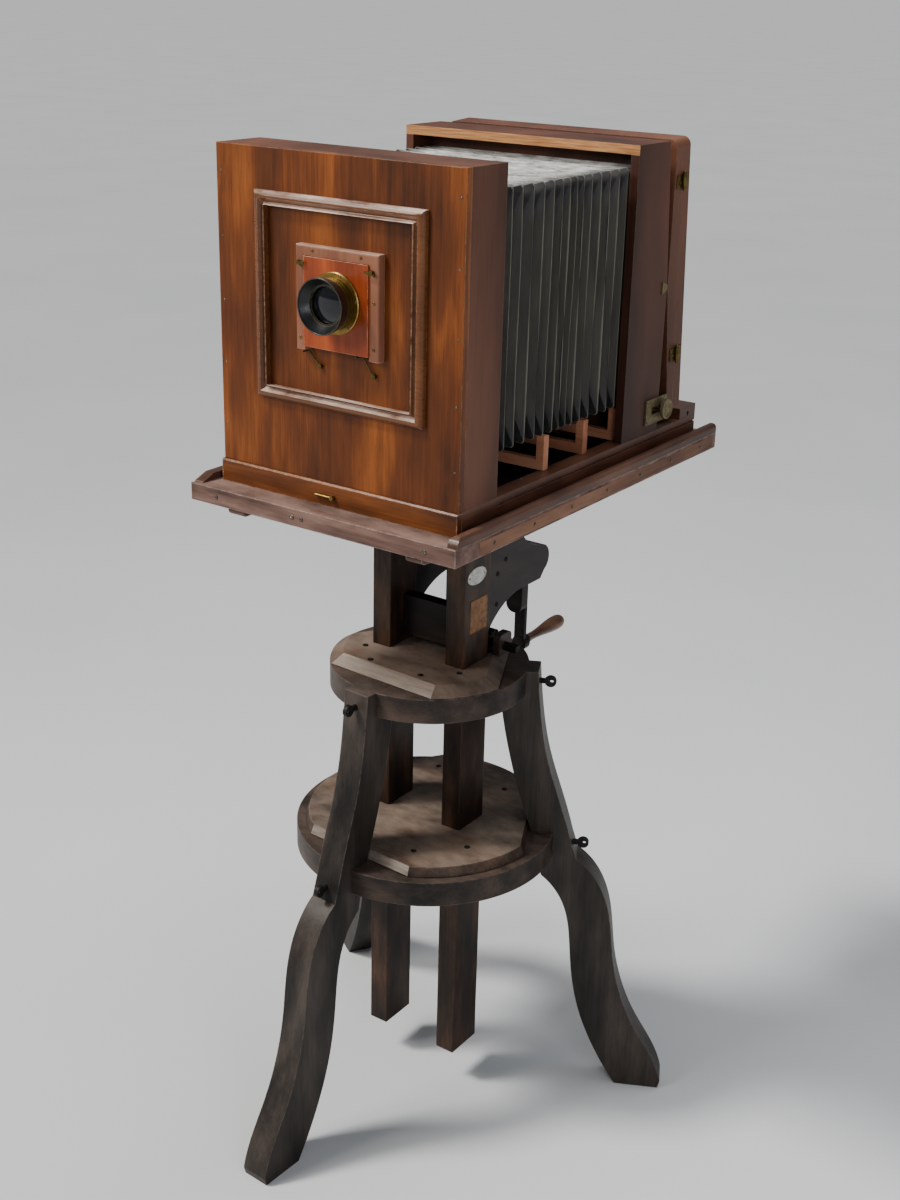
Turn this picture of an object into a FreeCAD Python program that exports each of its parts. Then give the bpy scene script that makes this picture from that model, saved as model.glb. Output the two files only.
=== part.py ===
"""Studio bellows camera on a three-legged wooden stand.

Millimetres, +Z up. The camera looks along -Y and +X is on its right hand when seen from the
front of the lens board. Everything is drawn about the axis of the stand, with z = 0 on the
floor, and save() moves it so that the origin is the middle of the footprint.
"""
import FreeCAD, Part
import math
import os

V = FreeCAD.Vector

# ---- where the stand's axis lies from the middle of the footprint ----
STAND_X = -11.0
STAND_Y = -31.5

# ---- running and seating clearances ----
RUN = 0.05          # radial, a shaft in its bore
SLIDE = 0.4         # per side, wood sliding in wood
SKIN = 0.3          # between parts of different bodies that only face each other

# ---- legs ----
LEG_ANGLES = {"leg_front": -93.0, "leg_right": 27.0, "leg_left": 147.0}
LEG_WIDTH = 50.0
LEG_TOP = 825.0
LEG_OUTER_UPPER = [(191, LEG_TOP), (197, 760), (213, 665), (240, 578), (262, 505)]
LEG_OUTER_LOWER = [(273, 470), (312, 430), (336, 370), (350, 270), (366, 200), (395, 130),
                   (440, 50), (452, 14)]
LEG_TOE = (448, 0)
LEG_INNER_LOWER = [(368, 0), (324, 77), (290, 165), (272, 270), (258, 365), (212, 432)]
LEG_INNER_UPPER = [(212, 432), (192, 515), (172, 575), (150, 655), (133, 739), (124, LEG_TOP)]

# ---- discs ----
UPPER_DISC_R = 172.0
UPPER_DISC_Z = 782.0
UPPER_DISC_T = 43.0
UPPER_DECK_T = 17.0
UPPER_DECK_FLAT = 132.0
UPPER_DECK_BEVEL = 22.0
LOWER_DISC_R = 232.0
LOWER_DISC_Z = 473.0
LOWER_DISC_T = 44.0
LOWER_DECK_R = 216.0
LOWER_DECK_T = 18.0
LOWER_DECK_FLAT = 186.0
LOWER_DECK_BEVEL = 6.0

# ---- eye bolts through the legs ----
BOLT_R = 5.0
BOLT_HEIGHTS = (800.0, 492.0)
BOLT_SEAT_R = (193.0, 265.0)
BOLT_INSIDE = 55.0
EYE_T = 7.0
EYE_R = 10.0
EYE_HOLE_R = 3.5
EYE_REACH = 18.0

# ---- column: two posts with racks ----
POST_W = 36.7
POST_D = 73.0
POST_OUT = 95.3
POST_BOTTOM = 66.0
POST_TOP = 1105.0
RACK_W = 20.0
RACK_INSET = 18.3
RACK_X = POST_OUT - RACK_INSET
RACK_BOTTOM = 560.0
RACK_BACK = 4.0
LIFT_MODULE = 3.0
LIFT_TEETH = 14
LIFT_Z = 856.0
LIFT_SHAFT_R = 8.0
LIFT_SQUARE = 12.0
BEARING_W = 14.0
BEARING_D = 36.0
BEARING_H = 38.0
BEARING_GAP = 3.0
PRESSURE_ANGLE = 20.0
BACKLASH = 0.5
CROSS_BOTTOM = 858.0
CROSS_TOP = 930.0
CROSS_Y = 0.0
CROSS_T = 25.0

# ---- brackets behind the posts ----
ARCH_SPRING = 889.0
ARM_BOTTOM = 937.0
ARM_END_Y = 197.0
ARM_END_R = 26.0
ARM_TOP = 1003.0
EAR_R = 22.0
EAR_BACK = 132.0

# ---- tilt gear ----
TILT_Y = 100.0
TILT_Z = 1095.0
TILT_PIN_R = 10.0
SCREW_Z = 905.0
SCREW_R = 9.0
JOURNAL_R = 7.0
SCREW_FRONT = 12.0
SCREW_SHOULDER = 26.0
HANGER_W = 34.0
HANGER_T = 20.0
HANGER_Y = 264.0
HANGER_BOTTOM = 827.0
SCREW_BOARD_Z = 942.0
SCREW_BOARD_T = 24.0
SCREW_BOARD_Y = 150.0
SCREW_BOARD_WIDE = 212.0
TONGUE_W = 60.0
NUT_W = 34.0
NUT_D = 30.0
TRUNNION_R = 6.0
TRUNNION_END = 4.0
CHEEK_GAP = 2.0
CHEEK_T = 10.0
CHEEK_IN = NUT_W / 2 + CHEEK_GAP
CHEEK_OUT = CHEEK_IN + CHEEK_T
TRUNNION_OUT = CHEEK_OUT + TRUNNION_END
CHEEK_D = 28.0
CHEEK_BOTTOM = 882.0
SLOT_EXTRA = 0.3
BRACKET_PLATE = 8.0
CRANK_THROW = 147.0
CRANK_T = 8.0
CRANK_W = 22.0
CRANK_BOSS_R = 15.0
CRANK_BOSS_T = 16.0
SPINDLE_R = 5.0
SPINDLE_HEAD_R = 12.5
GRIP_END = 440.0
GRIP_R = 14.0
GRIP_NECK_R = 8.0

# ---- platform ----
PLAT_HALF_X = 257.5
PLAT_FRONT = -302.0
PLAT_BACK = 516.0
PLAT_TOP = 1164.0
PLAT_T = 27.6
RAIL_W = 17.5
RAIL_RIGHT_H = 16.0
RAIL_LEFT_H = 11.0
RAIL_LEFT_FRONT = -294.0
BATTEN_INSET = 82.5
BATTEN_X = PLAT_HALF_X - BATTEN_INSET
BATTEN_W = 30.0
BATTEN_T = 15.0
BATTEN_FRONT_GAP = 12.0
BATTEN_BACK_GAP = 34.0

# ---- camera body ----
BODY_HALF_X = 228.0
BODY_TOP = PLAT_TOP + 523.0
WALL = 15.0
BED_H = 37.0
BED_RAIL_W = 28.0
BED_FRONT = -246.0
BED_BACK_GAP = 32.0
BED_BACK = PLAT_BACK - BED_BACK_GAP
BED_FLOOR_T = 20.0
BED_GROOVE = 3.0
CLEAT_FRONT = -259.0
CLEAT_H = 36.0
PANEL_FRONT = -253.3
PANEL_T = 12.3
BOX_BACK = -155.0
LENS_X = 13.0
LENS_Z = PLAT_TOP + 316.0
BARREL_R = 38.0
LENS_HOLE_GAP = 8.0
LENS_HOLE_R = BARREL_R + LENS_HOLE_GAP
MOULD_X = 8.0
MOULD_Z = PLAT_TOP + 307.0
MOULD_HALF_W = 157.0
MOULD_HALF_H = 155.0
MOULD_BAR = 20.0
MOULD_T = 12.0
HOLDER_HALF = 77.0
HOLDER_T = 14.0
HOLDER_BAR = 17.0
HOLDER_TOP_BAR = 15.0
LENS_BOARD_GAP = 0.5
LENS_BOARD_HALF_X = HOLDER_HALF - HOLDER_BAR - LENS_BOARD_GAP
LENS_BOARD_T = 17.0
LENS_BOARD_DROP = 6.0

# ---- lens ----
FLANGE_RIM = 7.5
FLANGE_R = BARREL_R + FLANGE_RIM
FLANGE_T = 4.0
HOOD_RIM = 3.5
HOOD_R = BARREL_R + HOOD_RIM
HOOD_FRONT = -307.0
HOOD_LEN = 18.0
GLASS_R = 26.0
GLASS_BULGE = 4.0

# ---- small catches ----
CATCH_R = 2.2
CATCH_ARM = 12.0
HOOK_LEN = 30.0
HOOK_REACH = 21.0
HOOK_LEFT_X = -40.0
HOOK_RIGHT_X = 61.0
LATCH_LEN = 34.0
LATCH_X = -18.0

# ---- bellows and their supports ----
BELLOWS_SIDE_GAP = 2.0
BELLOWS_HALF_X = BODY_HALF_X - WALL - BELLOWS_SIDE_GAP
BELLOWS_BOTTOM = PLAT_TOP + 94.0
BELLOWS_TOP = PLAT_TOP + 486.0
BELLOWS_BACK = 262.0
BELLOWS_WALL = 12.0
SUPPORT_PLACES = {"support_front": 12.0, "support_middle": 132.0, "support_rear": 236.0}
SUPPORT_INSET = 3.0
SUPPORT_HALF_X = BELLOWS_HALF_X - SUPPORT_INSET
SUPPORT_D = 14.0
SUPPORT_BAR_H = 16.0

# ---- rear box and swing back ----
REAR_FRONT = 219.0
REAR_TOP = PLAT_TOP + 520.0
REAR_BACK_TOP = 320.6
REAR_BACK_MID = 342.4
REAR_BACK_LOW = 340.0
REAR_SILL = 52.0
REAR_FRAME_T = 10.0
REAR_FRAME_IN = 30.0
SWING_Z = PLAT_TOP + 283.0
SWING_Y = 344.0
SWING_REST = 3.7
BACK_FRONT_EDGE = 359.3
BACK_FRONT_MID = 345.2
BACK_BOTTOM = PLAT_TOP + 62.0
BACK_SPLIT = 380.0
BACK_REAR = 404.6
BACK_STILE = 43.0
BACK_OPEN_X = BODY_HALF_X - BACK_STILE
BACK_OPEN_Z = 190.0
BACK_CORNER_R = 14.0
GLASS_REBATE = 8.0
GLASS_T = 4.0
LOCK_Z = PLAT_TOP + 75.0
LOCK_Y = 346.0
LOCK_TRAVEL = 29.0
LOCK_SLOT_GAP = 2.4
LOCK_PLATE_Z = (PLAT_TOP + 53.0, PLAT_TOP + 96.0)
LOCK_PLATE_Y = 294.0
LOCK_PLATE_END = 366.0
LOCK_PLATE_T = 3.0
LOCK_SCREW_R = 4.0
LOCK_KNOB_R = 18.0
LUG_BACK = 366.0
TAIL_FRONT = 426.0
TAIL_TOP = PLAT_TOP + 56.0

# ---- focusing rack and pinion ----
FOCUS_MODULE = 1.25
FOCUS_TEETH = 12
FOCUS_RACK_INSET = 19.0
FOCUS_RACK_X = BODY_HALF_X - FOCUS_RACK_INSET
FOCUS_RACK_W = 9.0
FOCUS_Y = 456.0
FOCUS_TRAVEL = 190.0
FOCUS_SHAFT_R = 4.0
FOCUS_KNOB_R = 16.0

# ---- hinges of the focusing screen's frame ----
HINGE_CENTRES = (PLAT_TOP + 452.0, PLAT_TOP + 160.0)
HINGE_LEAF_H = 22.0
HINGE_LEAF_W = 20.0
HINGE_LEAF_T = 1.6
HINGE_KNUCKLE_R = 4.0
HINGE_PIN_R = 2.0


# ================= helpers =================

def box(x0, x1, y0, y1, z0, z1):
    """A box between two corners."""
    return Part.makeBox(x1 - x0, y1 - y0, z1 - z0, V(x0, y0, z0))


def cyl_x(r, x0, x1, y, z):
    """A cylinder along X."""
    return Part.makeCylinder(r, x1 - x0, V(x0, y, z), V(1, 0, 0))


def cyl_y(r, y0, y1, x, z):
    """A cylinder along Y."""
    return Part.makeCylinder(r, y1 - y0, V(x, y0, z), V(0, 1, 0))


def cyl_z(r, z0, z1, x=0.0, y=0.0):
    """A cylinder along Z."""
    return Part.makeCylinder(r, z1 - z0, V(x, y, z0), V(0, 0, 1))


def side_prism(edges, x0, x1):
    """A prism along X over a closed outline drawn in the YZ plane at x = x0."""
    face = Part.Face(Part.Wire(edges))
    return face.extrude(V(x1 - x0, 0, 0))


def polygon_yz(points, x):
    """Edges of a closed polygon from (y, z) pairs."""
    corners = [V(x, y, z) for y, z in points]
    corners.append(corners[0])
    return Part.makePolygon(corners).Edges


def smooth(points):
    """An edge that passes smoothly through the points."""
    curve = Part.BSplineCurve()
    curve.interpolate(points)
    return curve.toShape()


def turned(shape, angle):
    """A copy turned about the stand's axis."""
    copy = shape.copy()
    copy.rotate(V(0, 0, 0), V(0, 0, 1), angle)
    return copy


def mirrored(shape):
    """A copy mirrored across the plane x = 0."""
    return shape.mirror(V(0, 0, 0), V(1, 0, 0))


def pair(shape):
    """A shape and its mirror image as separate solids."""
    return Part.makeCompound([shape, mirrored(shape)])


def swung(shape):
    """A copy leaned to the swing back's angle at rest."""
    copy = shape.copy()
    copy.rotate(V(0, SWING_Y, SWING_Z), V(1, 0, 0), SWING_REST)
    return copy


def cut_all(shape, tools):
    """The shape with every tool removed."""
    for tool in tools:
        shape = shape.cut(tool)
    return shape


def revolve_y(profile, x, z):
    """A solid turned about the line along Y at (x, z), from (y, radius) pairs."""
    points = [V(x + r, y, z) for y, r in profile]
    points.append(points[0])
    face = Part.Face(Part.makePolygon(points))
    return face.revolve(V(x, 0, z), V(0, 1, 0), 360)


def involute_tooth_gear(module, teeth, width, bore_r, centre, phase):
    """A spur gear along X with involute flanks, thinned by the backlash."""
    pitch_r = module * teeth / 2
    base_r = pitch_r * math.cos(math.radians(PRESSURE_ANGLE))
    tip_r = pitch_r + module * 0.96
    root_r = pitch_r - module * 1.25
    inv = math.tan(math.radians(PRESSURE_ANGLE)) - math.radians(PRESSURE_ANGLE)
    half = math.pi / (2 * teeth) - BACKLASH * module / 3.0 / (2 * pitch_r)
    steps = 6
    flank = []
    for i in range(steps + 1):
        r = max(base_r, root_r) + (tip_r - max(base_r, root_r)) * i / steps
        roll = math.sqrt(max(0.0, (r / base_r) ** 2 - 1))
        flank.append((r, half + inv - (roll - math.atan(roll))))
    outline = []
    for k in range(teeth):
        mid = phase + 2 * math.pi * k / teeth
        outline.append((root_r, mid - flank[0][1]))
        outline += [(r, mid - a) for r, a in flank]
        outline += [(r, mid + a) for r, a in reversed(flank)]
        outline.append((root_r, mid + flank[0][1]))
    x, y, z = centre
    points = [V(x - width / 2, y + r * math.cos(a), z + r * math.sin(a)) for r, a in outline]
    points.append(points[0])
    solid = Part.Face(Part.makePolygon(points)).extrude(V(width, 0, 0))
    if bore_r:
        solid = solid.cut(cyl_x(bore_r, x - width, x + width, y, z))
    return solid


def rack_teeth(module, pitch_line, start, end, meet, away):
    """(along, across) outline of straight-flanked teeth with a space centred on meet.

    The teeth stand along the second coordinate, on the side away = +1 or -1.
    """
    pitch = math.pi * module
    lean = module * math.tan(math.radians(PRESSURE_ANGLE))
    quarter = pitch / 4
    root = pitch_line - away * module * 1.25
    tip = pitch_line + away * module * 0.96
    outline = []
    first = math.ceil((start - meet) / pitch + 0.75)
    last = math.floor((end - meet) / pitch - 0.75)
    for k in range(first, last):
        mid = meet + (k + 0.5) * pitch
        foot = quarter + lean * 1.25
        head = quarter - lean * 0.96
        outline += [(mid - foot, root), (mid - head, tip), (mid + head, tip), (mid + foot, root)]
    return root, outline


def save(name, shape):
    """Write one sub-part, with the origin moved to the middle of the footprint."""
    moved = shape.copy()
    moved.translate(V(STAND_X, STAND_Y, 0))
    moved.exportStep("parts/" + name + ".step")


# ================= stand =================

def leg_outline(y):
    """Edges of one leg's outline, drawn along +X in the plane at the given y."""
    def at(pair_of_sizes):
        return V(pair_of_sizes[0], y, pair_of_sizes[1])
    outer_upper = smooth([at(p) for p in LEG_OUTER_UPPER])
    outer_lower = smooth([at(p) for p in LEG_OUTER_LOWER])
    inner_lower = smooth([at(p) for p in LEG_INNER_LOWER])
    inner_upper = smooth([at(p) for p in LEG_INNER_UPPER])
    return [
        outer_upper,
        Part.makeLine(at(LEG_OUTER_UPPER[-1]), at(LEG_OUTER_LOWER[0])),
        outer_lower,
        Part.makeLine(at(LEG_OUTER_LOWER[-1]), at(LEG_TOE)),
        Part.makeLine(at(LEG_TOE), at(LEG_INNER_LOWER[0])),
        inner_lower,
        inner_upper,
        Part.makeLine(at(LEG_INNER_UPPER[-1]), at(LEG_OUTER_UPPER[0])),
    ]


def plain_leg():
    """One leg along +X, without its bolt holes."""
    face = Part.Face(Part.Wire(leg_outline(-LEG_WIDTH / 2)))
    return face.extrude(V(0, LEG_WIDTH, 0))


def bolt_hole(height, seat):
    """The radial hole for one eye bolt, along +X."""
    return cyl_x(BOLT_R + RUN, seat - BOLT_INSIDE - 30, seat + 60, 0, height)


def eye_bolt(height, seat):
    """A bolt with a flat eye outside the leg, along +X."""
    eye_x = seat + EYE_REACH
    shank = cyl_x(BOLT_R, seat - BOLT_INSIDE - 28, eye_x - EYE_R * 0.7, 0, height)
    neck = box(seat + 9, eye_x, -EYE_T / 2, EYE_T / 2, height - 6, height + 6)
    eye = Part.makeCylinder(EYE_R, EYE_T, V(eye_x, -EYE_T / 2, height), V(0, 1, 0))
    hole = Part.makeCylinder(EYE_HOLE_R, EYE_T * 2, V(eye_x + 2, -EYE_T, height), V(0, 1, 0))
    return shank.fuse(neck).fuse(eye).cut(hole)


def deck(radius, z, thickness, flat, bevel):
    """A round board with three flats above the legs and a sloping edge all round."""
    drop = thickness * 0.85
    blank = cyl_z(radius, z, z + thickness)
    slope = Part.makeCone(radius, radius - bevel, drop, V(0, 0, z + thickness - drop))
    body = cyl_z(radius, z, z + thickness - drop).fuse(slope).common(blank)
    for angle in LEG_ANGLES.values():
        points = [(flat, z - 1), (flat, z + thickness - drop),
                  (flat - bevel, z + thickness + 0.001), (flat - bevel, z + thickness + 5),
                  (radius + 40, z + thickness + 5), (radius + 40, z - 1)]
        edges = [V(a, -radius * 1.5, b) for a, b in points]
        edges.append(edges[0])
        wedge = Part.Face(Part.makePolygon(edges)).extrude(V(0, radius * 3, 0))
        body = body.cut(turned(wedge, angle))
    return body.removeSplitter()


def post_windows(z0, z1):
    """The openings that the two posts slide in."""
    x0 = POST_OUT - POST_W - SLIDE
    x1 = POST_OUT + SLIDE
    half = POST_D / 2 + SLIDE
    return [box(x0, x1, -half, half, z0, z1), box(-x1, -x0, -half, half, z0, z1)]


def rack_windows(z0, z1):
    """The notches behind the posts that the racks pass through."""
    half = RACK_W / 2 + 1
    back = POST_D / 2
    depth = RACK_BACK + LIFT_MODULE * 2.25 + 2
    notch = box(RACK_X - half, RACK_X + half, back - 1, back + depth, z0, z1)
    return [notch, mirrored(notch)]


def pinion_windows(z0, z1):
    """The pockets in the deck that the lifting pinions dip into."""
    half = RACK_W / 2 + 2
    reach = LIFT_MODULE * (LIFT_TEETH / 2 + 1) + 2
    pocket = box(RACK_X - half, RACK_X + half, POST_D / 2, lift_y() + reach, z0, z1)
    return [pocket, mirrored(pocket)]


def lift_y():
    """Where the lifting shaft lies behind the posts."""
    return POST_D / 2 + RACK_BACK + LIFT_MODULE * 1.25 + LIFT_MODULE * LIFT_TEETH / 2


def lift_bearing():
    """The right-hand wooden block that holds the lifting shaft."""
    x0 = POST_OUT + BEARING_GAP
    z0 = UPPER_DISC_Z + UPPER_DISC_T + UPPER_DECK_T
    y0 = lift_y() - BEARING_D / 2
    block = box(x0, x0 + BEARING_W, y0, y0 + BEARING_D, z0, z0 + BEARING_H)
    corners = [e for e in block.Edges if e.BoundBox.ZMin > z0 + 1 and e.BoundBox.XLength > 1]
    block = block.makeFillet(8.0, corners)
    return block.cut(cyl_x(LIFT_SHAFT_R + RUN, x0 - 5, x0 + BEARING_W + 5, lift_y(), LIFT_Z))


def make_stand():
    """Legs, discs, decks, bolts and the lifting shaft's bearings."""
    leg = plain_leg()
    holes = [bolt_hole(h, r) for h, r in zip(BOLT_HEIGHTS, BOLT_SEAT_R)]
    drilled = cut_all(leg, holes)
    for name, angle in LEG_ANGLES.items():
        save(name, turned(drilled, angle))
    bolts = [eye_bolt(h, r) for h, r in zip(BOLT_HEIGHTS, BOLT_SEAT_R)]
    save("leg_bolts", Part.makeCompound([turned(b, a) for a in LEG_ANGLES.values()
                                         for b in bolts]))
    notches = [turned(leg, a) for a in LEG_ANGLES.values()]
    bores = [turned(h, a) for a in LEG_ANGLES.values() for h in holes]
    upper_top = UPPER_DISC_Z + UPPER_DISC_T
    upper = cyl_z(UPPER_DISC_R, UPPER_DISC_Z, upper_top)
    upper = cut_all(upper, notches + bores + post_windows(UPPER_DISC_Z - 1, upper_top + 1))
    save("upper_disc", cut_all(upper, rack_windows(UPPER_DISC_Z - 1, upper_top + 1)))
    top = deck(UPPER_DISC_R - 1, upper_top, UPPER_DECK_T, UPPER_DECK_FLAT, UPPER_DECK_BEVEL)
    above = upper_top + UPPER_DECK_T + 1
    save("upper_deck", cut_all(top, post_windows(upper_top - 1, above)
                               + pinion_windows(upper_top - 1, above)))
    lower_top = LOWER_DISC_Z + LOWER_DISC_T
    lower = cyl_z(LOWER_DISC_R, LOWER_DISC_Z, lower_top)
    save("lower_disc", cut_all(lower, notches + bores
                               + post_windows(LOWER_DISC_Z - 1, lower_top + 1)))
    shelf = deck(LOWER_DECK_R, lower_top, LOWER_DECK_T, LOWER_DECK_FLAT, LOWER_DECK_BEVEL)
    save("lower_deck", cut_all(shelf, post_windows(lower_top - 1, lower_top + 30)))
    save("lift_bearings", pair(lift_bearing()))


# ================= lifting shaft =================

def make_lift_shaft():
    """The shaft with a square end, and its two pinions."""
    y = lift_y()
    end = POST_OUT + BEARING_GAP + BEARING_W + 3
    shaft = cyl_x(LIFT_SHAFT_R, -end, end, y, LIFT_Z)
    half = LIFT_SQUARE / 2
    square = box(end - 0.5, end + 22, y - half, y + half, LIFT_Z - half, LIFT_Z + half)
    save("lift_shaft", shaft.fuse(square))
    phase = math.pi
    gear = involute_tooth_gear(LIFT_MODULE, LIFT_TEETH, RACK_W, LIFT_SHAFT_R,
                               (RACK_X, y, LIFT_Z), phase)
    save("lift_pinions", pair(gear))


# ================= column =================

def lift_rack():
    """The toothed bar on the back of the right-hand post."""
    back = POST_D / 2
    pitch_line = back + RACK_BACK + LIFT_MODULE * 1.25
    root, teeth = rack_teeth(LIFT_MODULE, pitch_line, RACK_BOTTOM, ARCH_SPRING - 1, LIFT_Z, 1)
    points = [(back, RACK_BOTTOM), (root, RACK_BOTTOM)]
    points += [(across, along) for along, across in teeth]
    points += [(root, ARCH_SPRING - 1), (back, ARCH_SPRING - 1)]
    x0 = RACK_X - RACK_W / 2
    return side_prism(polygon_yz(points, x0), x0, x0 + RACK_W)


def arm_edges(x):
    """Outline of a bracket: arch below, rounded end, hollow top and an ear for the pin."""
    back = POST_D / 2
    arch_a = V(x, back, ARCH_SPRING)
    arch_m = V(x, back + 34, ARCH_SPRING + 29)
    arch_b = V(x, 130, ARM_BOTTOM)
    step = V(x, ARM_END_Y, ARM_BOTTOM)
    centre_z = ARM_BOTTOM + 10 + ARM_END_R
    nose_low = V(x, ARM_END_Y + 12, ARM_BOTTOM + 14)
    nose_mid = V(x, ARM_END_Y + ARM_END_R, centre_z)
    nose_top = V(x, ARM_END_Y + 6, centre_z + ARM_END_R)
    hollow_mid = V(x, (ARM_END_Y + EAR_BACK) / 2 + 4, ARM_TOP + 5)
    ear_low = V(x, EAR_BACK - 4, ARM_TOP + 40)
    ear_side = V(x, TILT_Y + EAR_R, TILT_Z)
    ear_top = V(x, TILT_Y, TILT_Z + EAR_R)
    ear_mid = V(x, TILT_Y + EAR_R * math.sqrt(0.5), TILT_Z + EAR_R * math.sqrt(0.5))
    top_back = V(x, back, TILT_Z)
    return [
        Part.Arc(arch_a, arch_m, arch_b).toShape(),
        Part.makeLine(arch_b, step),
        Part.makeLine(step, nose_low),
        Part.Arc(nose_low, nose_mid, nose_top).toShape(),
        Part.Arc(nose_top, hollow_mid, ear_low).toShape(),
        Part.makeLine(ear_low, ear_side),
        Part.Arc(ear_side, ear_mid, ear_top).toShape(),
        Part.makeLine(ear_top, top_back),
        Part.makeLine(top_back, arch_a),
    ]


def screw_board():
    """The board between the brackets, with a tongue that reaches out to the hanger."""
    half = POST_OUT - POST_W
    z1 = SCREW_BOARD_Z + SCREW_BOARD_T
    wide = box(-half, half, SCREW_BOARD_Y, SCREW_BOARD_WIDE, SCREW_BOARD_Z, z1)
    tongue = box(-TONGUE_W / 2, TONGUE_W / 2, SCREW_BOARD_WIDE - 1, HANGER_Y + HANGER_T,
                 SCREW_BOARD_Z, z1)
    return wide.fuse(tongue).removeSplitter()


def screw_hanger():
    """The round-ended block below the tongue, bored for the screw."""
    half = HANGER_W / 2
    centre = HANGER_BOTTOM + half
    block = box(-half, half, HANGER_Y, HANGER_Y + HANGER_T, centre, SCREW_BOARD_Z)
    end = cyl_y(half, HANGER_Y, HANGER_Y + HANGER_T, 0, centre)
    bore = cyl_y(JOURNAL_R + RUN, HANGER_Y - 1, HANGER_Y + HANGER_T + 1, 0, SCREW_Z)
    return block.fuse(end).cut(bore)


def make_column():
    """Posts, racks, cross board, brackets, hinge pin and the screw's supports."""
    inner = POST_OUT - POST_W
    half = POST_D / 2
    post = box(inner, POST_OUT, -half, half, POST_BOTTOM, POST_TOP)
    save("posts", pair(post))
    save("lift_racks", pair(lift_rack()))
    cross = box(-inner, inner, CROSS_Y, CROSS_Y + CROSS_T, CROSS_BOTTOM, CROSS_TOP)
    socket = cyl_y(JOURNAL_R + RUN, SCREW_FRONT - 1, CROSS_Y + CROSS_T + 1, 0, SCREW_Z)
    save("cross_board", cross.cut(socket))
    arm = side_prism(arm_edges(inner), inner, POST_OUT)
    arm = arm.cut(cyl_x(TILT_PIN_R, 0, POST_OUT + 9, TILT_Y, TILT_Z))
    save("brackets", pair(arm))
    pin = cyl_x(TILT_PIN_R, -POST_OUT - 4, POST_OUT + 4, TILT_Y, TILT_Z)
    save("tilt_hinge_pin", pin)
    save("screw_board", screw_board())
    save("screw_hanger", screw_hanger())


# ================= tilt screw, crank and nut =================

def make_tilt_screw():
    """The screw with its crank, and the turning wooden grip."""
    hub_end = HANGER_Y + HANGER_T + 2 + CRANK_T
    screw = revolve_y([(SCREW_FRONT, 0), (SCREW_FRONT, JOURNAL_R), (SCREW_SHOULDER, JOURNAL_R),
                       (SCREW_SHOULDER, SCREW_R), (HANGER_Y - 2, SCREW_R),
                       (HANGER_Y - 2, JOURNAL_R), (hub_end + 4, JOURNAL_R), (hub_end + 4, 0)],
                      0, SCREW_Z)
    save("tilt_screw", screw)
    low = SCREW_Z - CRANK_THROW
    y0 = HANGER_Y + HANGER_T + 2
    bar = box(-CRANK_W / 2, CRANK_W / 2, y0, hub_end, low, SCREW_Z)
    hub = cyl_y(CRANK_W / 2 + 3, y0, hub_end, 0, SCREW_Z)
    boss = cyl_y(CRANK_BOSS_R, y0, y0 + CRANK_BOSS_T, 0, low)
    arm = bar.fuse(hub).fuse(boss)
    arm = arm.cut(cyl_y(JOURNAL_R, y0 - 1, hub_end + 1, 0, SCREW_Z))
    arm = arm.cut(cyl_y(SPINDLE_R, y0 - 1, y0 + 40, 0, low))
    save("crank_arm", arm)
    ferrule = y0 + CRANK_BOSS_T
    spindle = revolve_y([(y0 - 3, 0), (y0 - 3, SPINDLE_HEAD_R - 3), (y0 - 1.5, SPINDLE_HEAD_R),
                         (y0, SPINDLE_HEAD_R), (y0, SPINDLE_R), (ferrule, SPINDLE_R),
                         (ferrule, 9), (ferrule + 9, 10), (ferrule + 9, SPINDLE_R),
                         (GRIP_END - 22, SPINDLE_R), (GRIP_END - 22, 0)], 0, low)
    save("crank_spindle", spindle)
    save("crank_grip", crank_grip(ferrule + 9 + SKIN, low))


def crank_grip(start, z):
    """The pear-shaped handle, bored from its narrow end."""
    def at(y, r):
        return V(r, y, z)
    length = GRIP_END - start
    side = smooth([at(start, GRIP_NECK_R + 1), at(start + length * 0.25, GRIP_NECK_R),
                   at(start + length * 0.55, GRIP_R * 0.85), at(start + length * 0.8, GRIP_R),
                   at(start + length * 0.95, GRIP_R * 0.72), at(GRIP_END, 0)])
    axis_line = Part.makeLine(at(GRIP_END, 0), at(start, 0))
    end_line = Part.makeLine(at(start, 0), at(start, GRIP_NECK_R + 1))
    grip = Part.Face(Part.Wire([side, axis_line, end_line])).revolve(V(0, 0, z), V(0, 1, 0), 360)
    return grip.cut(cyl_y(SPINDLE_R + RUN, start - 1, GRIP_END - 20, 0, z))


def make_tilt_nut():
    """The nut that travels on the screw, with a trunnion on each side."""
    half = NUT_W / 2
    block = box(-half, half, TILT_Y - NUT_D / 2, TILT_Y + NUT_D / 2, SCREW_Z - half,
                SCREW_Z + half)
    trunnions = cyl_x(TRUNNION_R, -TRUNNION_OUT, TRUNNION_OUT, TILT_Y, SCREW_Z)
    bore = cyl_y(SCREW_R + RUN, TILT_Y - NUT_D, TILT_Y + NUT_D, 0, SCREW_Z)
    save("tilt_nut", block.fuse(trunnions).cut(bore))


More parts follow.
